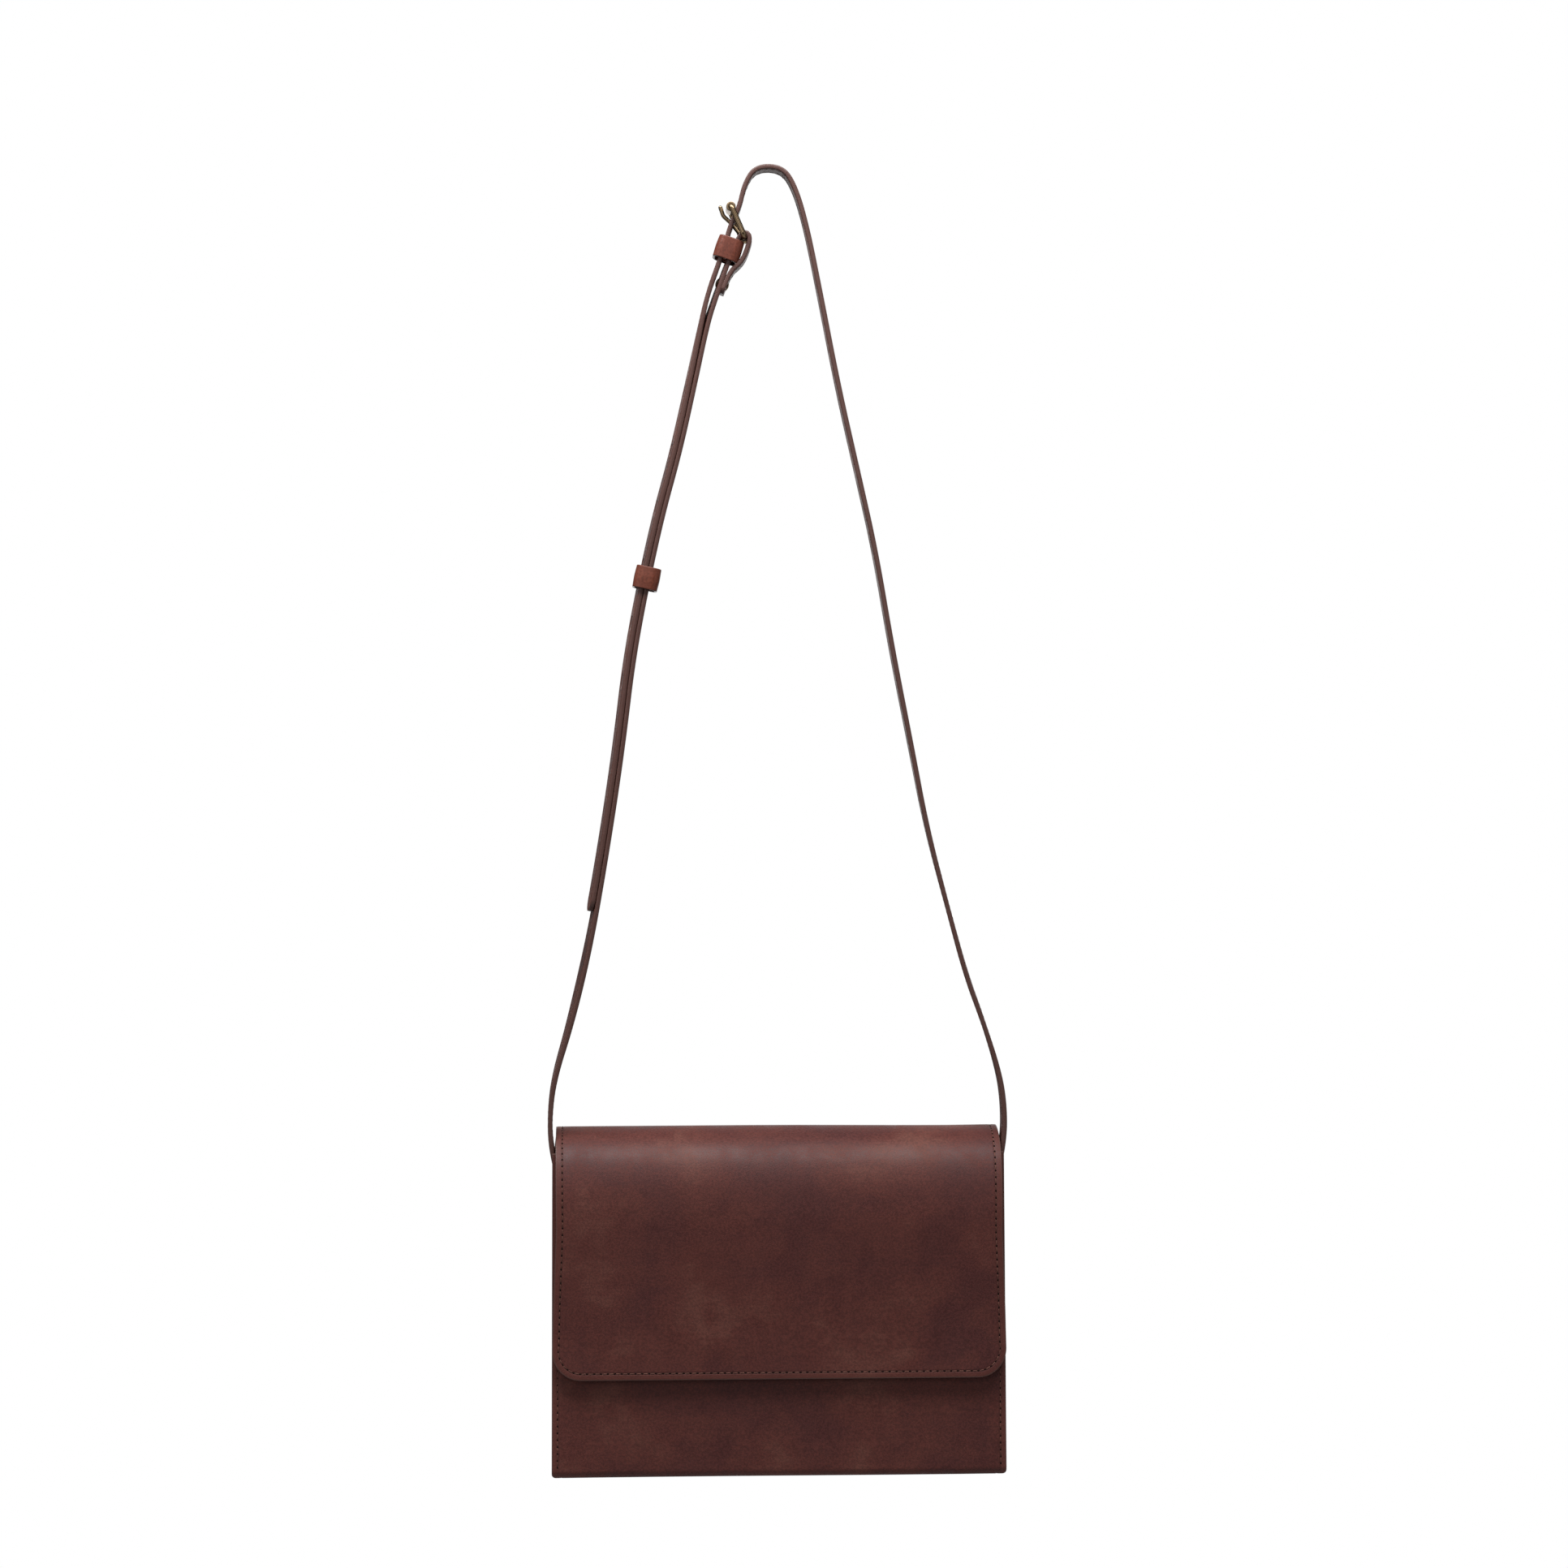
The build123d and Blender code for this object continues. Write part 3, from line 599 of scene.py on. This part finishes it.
# ==== Inner pocket ====
# A flat slip pocket of lining leather, sewn to the inside of the back along its sides and bottom.
pocket_low, pocket_high = box_mm("inner_pocket")
pocket_corner = 8.0
pocket_wall = 1.2
pocket_half = (pocket_high[0] - pocket_low[0]) / 2
pocket_height = pocket_high[2] - pocket_low[2]
turn = np.linspace(0, math.pi / 2, 12)
drop = np.unique(np.concatenate([np.linspace(0, pocket_height - pocket_corner, 30),
                                 pocket_height - pocket_corner * (1 - np.sin(turn))]))
over = np.clip(drop - (pocket_height - pocket_corner), 0, pocket_corner)
pocket_widths = pocket_half - pocket_corner + np.sqrt(pocket_corner**2 - over**2)
x = across(pocket_half, 6.0)[None, :] * pocket_widths[:, None]
z = pocket_high[2] - drop[:, None] + 0 * x
slack = 2.2 * np.clip(1 - (x / pocket_half) ** 2, 0, 1) * np.clip(1 - drop[:, None] / 50, 0, 1) ** 2
y_glued = pocket_high[1] - 0.02 - slack
pocket_rim = np.minimum(np.minimum(pocket_widths[:, None] - np.abs(x), drop[:, None]),
                        pocket_height - drop[:, None])
pocket = slab(
    "inner_pocket_hide",
    np.stack([x + middle_x, y_glued - pocket_wall, z], axis=-1),
    np.stack([x + middle_x, y_glued, z], axis=-1),
    pocket_rim,
    [lining_finish, flesh_finish],
    bevel=0.3,
)
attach(pocket, "root")
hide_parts("inner_pocket")

# ==== Magnet patches ====
# Two domed discs of leather, glued and sewn over the magnets on the inside of the front.
patch_low, patch_high = box_mm("magnet_patches")
patch_radius = (patch_high[2] - patch_low[2]) / 2
patch_spacing = patch_high[0] - patch_low[0] - 2 * patch_radius
slope = math.atan2(back - mouth_depth - front, mouth - base)
patch_points, patch_faces = [], []
ring = np.linspace(0, 2 * math.pi, 48, endpoint=False)
radius = patch_radius * np.array([1.0, 1.0, 0.985, 0.96, 0.92, 0.87, 0.8, 0.7, 0.6, 0.45, 0.3, 0.15, 0.0])
dome = np.array([0.0, 0.8, 1.15, 1.35, 1.5, 1.55, 1.75, 2.6, 2.95, 3.05, 3.07, 3.08, 3.08])
for number, x_place in enumerate((middle_x - patch_spacing / 2, middle_x + patch_spacing / 2)):
    level = (patch_low[2] + patch_high[2]) / 2
    face_y = front + (level - base) * math.tan(slope) + panel / math.cos(slope)
    u, v = radius[:, None] * np.cos(ring), radius[:, None] * np.sin(ring)
    lift = dome[:, None] - 0.03 + 0 * u
    y = face_y + lift * math.cos(slope) + v * math.sin(slope)
    z = level - lift * math.sin(slope) + v * math.cos(slope)
    patch_points.append(np.stack([x_place + u, y, z], axis=-1).reshape(-1, 3))
    patch_faces.append(grid_faces(len(radius), len(ring), first=number * u.size, loop_columns=True))
foot = [np.arange(len(ring)) + n * len(radius) * len(ring) for n in range(2)]
faces = [*patch_faces[0].tolist(), foot[0][::-1].tolist(), *patch_faces[1].tolist(), foot[1][::-1].tolist()]
patch_rims = np.tile(np.repeat(patch_radius - radius, len(ring)), 2)
patches = make_piece("magnet_patches_hide", np.concatenate(patch_points), faces, [lining_finish],
                     rim=patch_rims, merge=0.01)
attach(patches, "root")
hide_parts("magnet_patches")

# ==== Seams ====
# Waxed brown thread, about three and a half millimetres to the stitch: each stitch is a short
# rope that dips into the awl's holes at its ends, and near-black discs over the holes are painted
# shade.  The rows sink a little into the leather.
thread, tree, skin, place = new_material("waxed_thread")
lay, dirt = noise(tree, place, 2600.0), noise(tree, place, 120.0, 3.0)
colour = tint(tree, rising(tree, dirt, 0.35, 0.65), (0.085, 0.032, 0.022, 1), (0.145, 0.058, 0.042, 1))
# Painted shade: the thread is darkened where the lay noise is low, in the hollows between its plies that the
# bump sinks.
colour = tint(tree, rising(tree, lay, 0.4, 0.6, 0.5, 0.0), colour, (0.05, 0.02, 0.015, 1))
bump = put_node(tree, "ShaderNodeBump", {"Height": lay, "Distance": 0.0001, "Strength": 0.8})
set_inputs(tree, skin, {"Base Color": colour, "Normal": bump.outputs[0], "Roughness": 0.7,
           "Specular IOR Level": 0.25})
# Painted shade: a near-black finish for the discs that stand in for the shade inside the awl holes.
awl, tree, skin, place = new_material("painted_hole_shade")
colour = tint(tree, noise(tree, place, 700.0), (0.005, 0.0015, 0.001, 1), (0.014, 0.0045, 0.0035, 1))
set_inputs(tree, skin, {"Base Color": colour, "Roughness": 0.85, "Specular IOR Level": 0.1})
stitch_pitch = 3.45
slant = 0.08
hole_ring = np.linspace(0, 2 * math.pi, 8, endpoint=False)


def unit(vectors):
    """Vectors brought to a length of one."""
    return vectors / np.linalg.norm(vectors, axis=1, keepdims=True)


def run_of(points):
    """Each point's distance from the first, along the row."""
    return np.concatenate([[0], np.cumsum(np.linalg.norm(np.diff(points, axis=0), axis=1))])


def sample(values, length, at):
    """Values along a row of points, at given lengths."""
    return np.stack([np.interp(at, length, values[:, k]) for k in range(3)], axis=-1)


def copies(faces, count, step, first=0):
    """The faces of equal parts whose points follow one another, a step apart."""
    return [[corner + first + number * step for corner in face] for number in range(count) for face in faces]


def seam(name, rows, pitch=stitch_pitch, thick=0.26, hole=0.56):
    """Threads of rows of stitches, and near-black discs of painted shade over their awl holes.  A thread's
    middle line is a straight run between two holes that rises by the square root of a sine; its section is a
    hexagon."""
    share = np.array([0.15, 0.2, 0.32, 0.5, 0.68, 0.8, 0.85])
    rise = np.sqrt(np.sin(math.pi * (share - 0.13) / 0.74))
    turn = np.linspace(0, 2 * math.pi, 6, endpoint=False)
    threads, thread_faces, holes, hole_faces = [], [], [], []
    thread_count = hole_count = 0
    for points, normals in rows:
        length = run_of(points)
        where = np.linspace(0, length[-1], max(1, int(round(length[-1] / pitch))) + 1)
        places, facing = sample(points, length, where), unit(sample(normals, length, where))
        start, end = places[:-1], places[1:]
        up, ahead = unit(facing[:-1] + facing[1:]), unit(end - start)
        aside = np.cross(up, ahead)
        start, end = start - slant * aside, end + slant * aside
        centre = start[:, None] + (end - start)[:, None] * share[None, :, None]
        climb = -0.45 * thick + 0.75 * thick * (rise * 1.25 - 0.25)
        centre = centre + up[:, None] * climb[None, :, None]
        size = thick * (0.55 + 0.45 * rise)
        spoke = (aside[:, None, None] * np.cos(turn)[None, None, :, None]
                 + up[:, None, None] * np.sin(turn)[None, None, :, None] * 0.8)
        tube = centre[:, :, None] + spoke * size[None, :, None, None]
        one = grid_faces(len(share), 6, loop_columns=True).tolist()
        one += [list(range(6)), list(range(len(share) * 6 - 1, len(share) * 6 - 7, -1))]
        threads.append(tube.reshape(-1, 3))
        step = len(share) * 6
        thread_faces += copies(one, len(start), step, thread_count)
        thread_count += len(start) * step
        aside = np.vstack([aside, aside[-1:]])
        ahead = np.vstack([ahead, ahead[-1:]])
        # Each hole is a flat near-black lens at the surface: painted shade, not a real opening.
        disc = (ahead[:, None] * np.cos(hole_ring)[None, :, None] * 1.25
                + aside[:, None] * np.sin(hole_ring)[None, :, None] * 0.8) * hole
        top = places[:, None] + facing[:, None] * 0.07
        lens = np.concatenate([places[:, None] + disc + facing[:, None] * 0.05, top,
                               top - facing[:, None] * 0.3], axis=1)
        holes.append(lens.reshape(-1, 3))
        fan = [[k, (k + 1) % 8, 8] for k in range(8)] + [[(k + 1) % 8, k, 9] for k in range(8)]
        hole_faces += copies(fan, len(places), 10, hole_count)
        hole_count += len(places) * 10
    stitches = make_piece(name + "_stitches", np.concatenate(threads), thread_faces, [thread])
    shade_discs = make_piece(name + "_hole_shade_discs", np.concatenate(holes), hole_faces, [awl])
    return stitches, shade_discs


def sheet_row(line, along, x, depth):
    """A row of points on a sheet and the sheet's outward normals there."""
    return on_line(line, along, x + middle_x, depth), outward(line, along)


corner_turn = np.linspace(0, math.pi / 2, 30)
lower_half = np.interp(flap_length, width_along, half_widths)
corner_reach = flap_corner - flap_margin
side_run = np.linspace(fold_at + 4, flap_length - flap_corner, 300)
side_x = np.interp(side_run, width_along, half_widths) - flap_margin
corner_x = lower_half - flap_corner + corner_reach * np.cos(corner_turn)
corner_run = flap_length - flap_corner + corner_reach * np.sin(corner_turn)
bottom_x = np.linspace(lower_half - flap_corner, -(lower_half - flap_corner), 200)
row_x = np.concatenate([side_x, corner_x[1:], bottom_x[1:], -corner_x[::-1][1:], -side_x[::-1][1:]])
row_run = np.concatenate([side_run, corner_run[1:], np.full(199, flap_length - flap_margin),
                          corner_run[::-1][1:], side_run[::-1][1:]])
row_depth = flap_depth(row_run, row_x)
for piece in seam("flap", [sheet_row(flap_line, row_run, row_x, row_depth)]):
    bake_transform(piece)

side_rows = []
for side in (-1, 1):
    run = np.linspace(3.0, front_length - 6, 200)
    x = side * (half_bag - side_margin) + 0 * run
    depth = 0.16 + soft_wave(x, run, 3, 0.25) * side_margin / 20
    side_rows.append(sheet_row(wrap_line, run, x, depth))
    run = np.linspace(2.0, fold_at - 2, 200)
    x = side * (half_bag - flap_margin) + 0 * run
    side_rows.append(sheet_row(flap_line, run, x, flap_depth(run, x)))
for piece in seam("side_seams", side_rows, hole=0.5):
    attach(piece, "root")

# ==== Strap ====
# Two straps of harness leather, skived, edge-painted and stitched along both sides.  The long one
# is sewn and riveted to the right gusset, goes over the hanging point, down through the buckle and
# lies with its rounded tip on the short one, which is riveted to the left gusset.
strap_width = 12.7
strap_thick = 2.4
strap_margin = 1.7
long_route = [
    (0.1157, -0.5445), (0.1157, -0.5185), (0.1207, -0.495), (0.1208, -0.478),
    (0.1184, -0.461), (0.1103, -0.435), (0.1014, -0.411), (0.0921, -0.377),
    (0.0812, -0.336), (0.0731, -0.294), (0.0633, -0.2446), (0.0548, -0.1947),
    (0.0463, -0.157), (0.0359, -0.1117), (0.0262, -0.0618), (0.0193, -0.0278),
    (0.0132, -0.0078), (0.0067, 0.0012), (-0.0067, 0.0012), (-0.0123, -0.0078),
    (-0.0147, -0.019), (-0.019, -0.0278), (-0.0214, -0.036), (-0.0252, -0.0475),
    (-0.031, -0.0635), (-0.03442, -0.079), (-0.04142, -0.112), (-0.04872, -0.145),
    (-0.05782, -0.178), (-0.06682, -0.22), (-0.07262, -0.253), (-0.07652, -0.286),
    (-0.08122, -0.32), (-0.08782, -0.361), (-0.09094, -0.378),
]
short_route = [
    (-0.1057, -0.5445), (-0.1057, -0.5185), (-0.1109, -0.497), (-0.1112, -0.48),
    (-0.1089, -0.462), (-0.1008, -0.435), (-0.0918, -0.397), (-0.0852, -0.361),
    (-0.0786, -0.32), (-0.0739, -0.286), (-0.07, -0.253), (-0.0642, -0.22),
    (-0.0552, -0.178), (-0.0461, -0.145), (-0.0388, -0.112), (-0.0318, -0.079),
    (-0.0273, -0.0655), (-0.0204, -0.046), (-0.01386, -0.03116), (-0.00886, -0.03344),
    (-0.0106, -0.0406), (-0.0136, -0.0476), (-0.02015, -0.05265), (-0.02399, -0.06349),
]
# Its stitch channel, 1.7 mm in from each edge, gets painted shade.
strap_finish = leather("strap_leather", (0.042, 0.017, 0.0145), (0.080, 0.031, 0.025), (0.115, 0.043, 0.031),
                       gloss=0.46, edge=edge_paint, channel=1.7, relief=0.06, shift=(0.3, 0.9, 0.1))


def route_line(name, route):
    """The strap's middle line in metres: a smooth NURBS line drawn by the route's points."""
    curve = bpy.data.curves.new(name, "CURVE")
    curve.dimensions = "3D"
    spline = curve.splines.new("NURBS")
    spline.points.add(len(route) - 1)
    places = np.array(route)
    spline.points.foreach_set("co", np.column_stack([places[:, 0], 0 * places[:, 0], places[:, 1],
                                                     np.ones(len(places))]).ravel())
    spline.order_u = 3
    spline.use_endpoint_u = True
    spline.resolution_u = 16
    holder = bpy.data.objects.new(name, curve)
    mesh = bpy.data.meshes.new_from_object(holder)
    line = np.zeros(len(mesh.vertices) * 3)
    mesh.vertices.foreach_get("co", line)
    bpy.data.objects.remove(holder)
    bpy.data.meshes.remove(mesh)
    bpy.data.curves.remove(curve)
    return line.reshape(-1, 3)


def smooth_twist(length, stops):
    """Turn of the strap about its own middle line, in radians, eased between (length, degrees)."""
    at, degrees = np.array(stops, float).T
    fine = np.linspace(0, length[-1], 800)
    turned = np.interp(fine, at, degrees)
    kernel = np.hanning(81)
    padded = np.pad(turned, 40, mode="edge")
    return np.radians(np.interp(length, fine, np.convolve(padded, kernel / kernel.sum(), "valid")))


def strap_frame(line, stops, step=1.6, ends=()):
    """Places, width and thickness directions along a strap, at equal steps and at its ends' rows."""
    line = line / MM
    length = run_of(line)
    where = np.linspace(0, length[-1], int(length[-1] / step))
    ends = [np.asarray(end) % (length[-1] + 1e-9) for end in ends]
    where = np.unique(np.round(np.concatenate([where, *ends]), 3))
    place = sample(line, length, where)
    ahead = unit(sample(line, length, where + 0.8) - sample(line, length, where - 0.8))
    turn = smooth_twist(where, stops)[:, None]
    flat_side = np.column_stack([ahead[:, 2], 0 * turn[:, 0], -ahead[:, 0]])
    level = np.array([[0.0, 1.0, 0.0]])
    wide = level * np.cos(turn) + flat_side * np.sin(turn)
    thick = flat_side * np.cos(turn) - level * np.sin(turn)
    return where, place, ahead, wide, thick


def band_section(half, thickness):
    """Loop of (across, through) points round a strap's section: flat faces that dip at the stitch
    rows, and edges rounded by the burnisher."""
    round_edge = 0.75
    turn = np.linspace(0, math.pi / 2, 5)
    w = half - round_edge + round_edge * np.sin(turn)
    t = thickness / 2 - round_edge + round_edge * np.cos(turn)
    inner = np.array([0.0, 0.5, 0.62, 0.7, 0.735, 0.77, 0.84]) * half
    dip = 0.10 * np.exp(-(((half - inner) - strap_margin) / 0.4) ** 2)
    w = np.concatenate([inner, w])
    t = np.concatenate([thickness / 2 - dip, t])
    right = np.concatenate([np.column_stack([w, t]), np.column_stack([w, -t])[::-1]])
    left = right[1:-1][::-1] * [-1, 1]
    return np.concatenate([right, left])


section = band_section(strap_width / 2, strap_thick)


def strap_band(name, line, stops, tip_round, start_round):
    """A flat strap: its section carried along its middle line, narrowed to round ends."""
    line_mm = line / MM
    total = np.linalg.norm(np.diff(line_mm, axis=0), axis=1).sum()
    ease = np.sin(np.linspace(0, math.pi / 2, 12))
    where, place, ahead, wide, thick = strap_frame(
        line, stops, ends=[start_round * (1 - ease), total - tip_round * (1 - ease)])
    half = strap_width / 2
    to_tip = np.clip(tip_round - (where[-1] - where), 0, tip_round)
    to_start = np.clip(start_round - where, 0, start_round)
    narrowed = half - (tip_round - np.sqrt(tip_round**2 - to_tip**2))
    narrowed -= start_round - np.sqrt(start_round**2 - to_start**2)
    narrowed = np.maximum(narrowed, 0.12)
    w = section[None, :, 0] * (narrowed / half)[:, None]
    points = place[:, None] + wide[:, None] * w[..., None] + thick[:, None] * section[None, :, 1, None]
    rows, columns = w.shape
    faces = grid_faces(rows, columns, loop_columns=True).tolist()
    faces += [list(range(columns))[::-1], list(range((rows - 1) * columns, rows * columns))]
    edge = np.minimum(narrowed[:, None] - np.abs(w) + 0.9 * (np.abs(section[None, :, 1]) > 1.15),
                      np.minimum(where, where[-1] - where)[:, None] + 0.3)
    band = make_piece(name, points.reshape(-1, 3), faces, [strap_finish], rim=edge.ravel())
    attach(band, "root")
    return band


long_line = route_line("long_strap_route", long_route)
short_line = route_line("short_strap_route", short_route)
long_twist = [(0, 0), (60, 0), (85, 0), (100, 5), (127, 7), (150, 6), (190, 4), (240, 1), (300, 0),
              (560, 0), (640, 0), (700, 8), (960, 8.5)]
short_twist = [(0, 0), (45, 0), (84, -4), (101, -7), (127, -11), (160, -10), (200, -8.5), (470, -8),
               (515, -3), (570, 0)]
long_band = strap_band("strap_long_band", long_line, long_twist, 6.2, 1.5)
short_band = strap_band("strap_short_band", short_line, short_twist, 3.0, 1.5)
# Nine oblong holes are punched through the long strap, from the one that the prong is in.
prong_place = np.array([-18.74, 0.0, -27.26])
hole_pitch, hole_long, hole_wide = 30.0, 7.0, 3.2
holes, sides = 9, 24
where, place, ahead, wide, thick = strap_frame(long_line, long_twist, step=0.5)
used = where[where.size // 2 + np.argmin(np.linalg.norm(place[where.size // 2:] - prong_place, axis=1))]
rows = np.searchsorted(where, used + hole_pitch * np.arange(holes))
swing = np.linspace(0, 2 * math.pi, sides, endpoint=False)
slot_along = (hole_long - hole_wide) / 2 * np.sign(np.cos(swing)) + hole_wide / 2 * np.cos(swing)
slot_aside = hole_wide / 2 * np.sin(swing)
outline = (ahead[rows][:, None] * slot_along[None, :, None] + wide[rows][:, None] * slot_aside[None, :, None]
           + place[rows][:, None])
ends = [outline + thick[rows][:, None] * side * strap_thick for side in (-1, 1)]
punch_points = np.concatenate(ends, axis=1).reshape(-1, 3)
one = [[k, (k + 1) % sides, sides + (k + 1) % sides, sides + k] for k in range(sides)]
one += [list(range(sides))[::-1], list(range(sides, 2 * sides))]
punch = make_piece("hole_punch", punch_points, copies(one, holes, 2 * sides), [strap_finish],
                   rim=np.zeros(len(punch_points)))
cut = long_band.modifiers.new("punched_holes", "BOOLEAN")
cut.operation, cut.solver, cut.object = "DIFFERENCE", "EXACT", punch
bpy.context.view_layer.update()
punched = bpy.data.meshes.new_from_object(long_band.evaluated_get(bpy.context.evaluated_depsgraph_get()))
long_band.modifiers.clear()
long_band.data = punched
bpy.data.objects.remove(punch)
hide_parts("strap_long")
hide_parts("strap_short")


def strap_rows(line, stops, start, stop):
    """Rows of stitches near both edges of a strap, on both of its faces."""
    where, place, ahead, wide, thick = strap_frame(line, stops)
    keep = (where >= start) & (where <= where[-1] - stop)
    place, wide, thick = place[keep], wide[keep], thick[keep]
    rows = []
    for face in (-1, 1):
        for edge in (-1, 1):
            points = place + wide * edge * (strap_width / 2 - strap_margin)
            rows.append((points + thick * face * (strap_thick / 2 - 0.1), thick * face))
    return rows


long_seam = seam("strap_long", strap_rows(long_line, long_twist, 3, 7),
                 pitch=3.3, thick=0.17, hole=0.26)
short_seam = seam("strap_short", strap_rows(short_line, short_twist, 3, 3),
                  pitch=3.3, thick=0.17, hole=0.26)
for piece in (*long_seam, *short_seam):
    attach(piece, "root")

# ==== Keepers ====
# Two loops of redder, polished leather, butt-joined behind.  One is held beside the buckle;
# the other slides on both layers and holds the tail.
keeper_finish = leather("keeper_leather", (0.086, 0.022, 0.013), (0.102, 0.026, 0.0155),
                        (0.120, 0.032, 0.018), gloss=0.4, cloud_size=30.0, edge=(0.05, 0.022, 0.018),
                        coat=0.0, relief=0.01, shift=(0.1, 0.5, 0.8))
keeper_wall = 1.3
keeper_half_wide = strap_width / 2 + 0.7 + keeper_wall
keeper_corner = 4.4


def keeper_loop(name, node, centre, lean_degrees, length, half_across, body):
    """A leather loop: a rounded strip's section carried round a rounded rectangle that stands
    square to the strap."""
    angle = math.radians(lean_degrees)
    up = np.array([math.sin(angle), 0, math.cos(angle)])
    side = np.array([math.cos(angle), 0, -math.sin(angle)])
    turn = np.linspace(0, math.pi / 2, 9)
    runs = [(1, 1), (-1, 1), (-1, -1), (1, -1)]
    ring_x, ring_y, away_x, away_y = [], [], [], []
    for number, (sx, sy) in enumerate(runs):
        swing = turn + number * math.pi / 2
        ring_x.append(sx * (half_across - keeper_corner) + keeper_corner * np.cos(swing))
        ring_y.append(sy * (keeper_half_wide - keeper_corner) + keeper_corner * np.sin(swing))
        away_x.append(np.cos(swing))
        away_y.append(np.sin(swing))
    ring_x, ring_y = np.concatenate(ring_x), np.concatenate(ring_y)
    away = np.concatenate(away_x)[:, None] * side + np.concatenate(away_y)[:, None] * np.array([0, 1.0, 0])
    ring = ring_x[:, None] * side + ring_y[:, None] * np.array([0, 1.0, 0]) + np.array(centre)
    ease = np.linspace(0, math.pi / 2, 5)
    edge = 0.45
    h = length / 2 - edge + edge * np.sin(ease)
    d = -edge + edge * np.cos(ease)
    flat = np.array([0, 0.35, 0.62, 0.8, 0.9]) * (length / 2 - edge)
    swell = 0.22 * np.cos(flat / length * math.pi) ** 2
    h = np.concatenate([flat, h])
    d = np.concatenate([swell, d + 0.22 * math.cos((length / 2 - edge) / length * math.pi) ** 2])
    loop = np.concatenate([np.column_stack([h, d]), np.column_stack([h, -keeper_wall - d * (d < 0)])[::-1]])
    loop = np.concatenate([loop, loop[1:-1][::-1] * [-1, 1]])
    points = ring[:, None] + up[None, None] * loop[None, :, 0, None] + away[:, None] * loop[None, :, 1, None]
    faces = grid_faces(*points.shape[:2], loop_rows=True, loop_columns=True)
    rim = np.broadcast_to(length / 2 - np.abs(loop[:, 0]) + 0.6 * (loop[:, 1] > -0.2), points.shape[:2])
    piece = make_piece(name, points.reshape(-1, 3), faces, [keeper_finish], rim=rim.ravel())
    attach(piece, body)
    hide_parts(node)
    return piece


fixed_keeper = keeper_loop("keeper_fixed_loop", "keeper_fixed", (-20.4, 0.0, -40.9), 19.0, 11.4, 6.6, "root")
keeper_loop("keeper_sliding_loop", "keeper_sliding", (-61.9, 0.0, -208.5), 12.2, 11.4, 6.4, "slider")

# ==== Buckle, rivets and magnets ====
# Cast and drawn brass, browned with age and bright where it rubs: the CAD metal itself is shown.
brass, tree, skin, place = new_material("old_brass")
tarnish, scratch = noise(tree, place, 45.0), noise(tree, place, 900.0)
colour = tint(tree, rising(tree, tarnish, 0.36, 0.62), (0.17, 0.118, 0.070, 1), (0.25, 0.178, 0.105, 1))
bump = put_node(tree, "ShaderNodeBump", {"Height": scratch, "Distance": 0.00001, "Strength": 0.15})
set_inputs(tree, skin, {"Base Color": colour, "Roughness": rising(tree, tarnish, 0.3, 0.7, 0.36, 0.24),
           "Normal": bump.outputs[0], "Metallic": 1.0})
nickel, tree, skin, place = new_material("nickel_plate")
haze = noise(tree, place, 300.0, 4.0)
colour = tint(tree, haze, (0.42, 0.41, 0.39, 1), (0.66, 0.65, 0.62, 1))
set_inputs(tree, skin, {"Base Color": colour, "Roughness": rising(tree, haze, 0.3, 0.7, 0.25, 0.42),
           "Metallic": 1.0})
brass_nodes = ("buckle_frame", "buckle_roller", "buckle_prong", "fold_rivet", "strap_end_rivets")
for names, metal in ((brass_nodes, brass), (("flap_magnets", "body_magnets"), nickel)):
    for node in names:
        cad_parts[node].data.materials.clear()
        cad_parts[node].data.materials.append(metal)
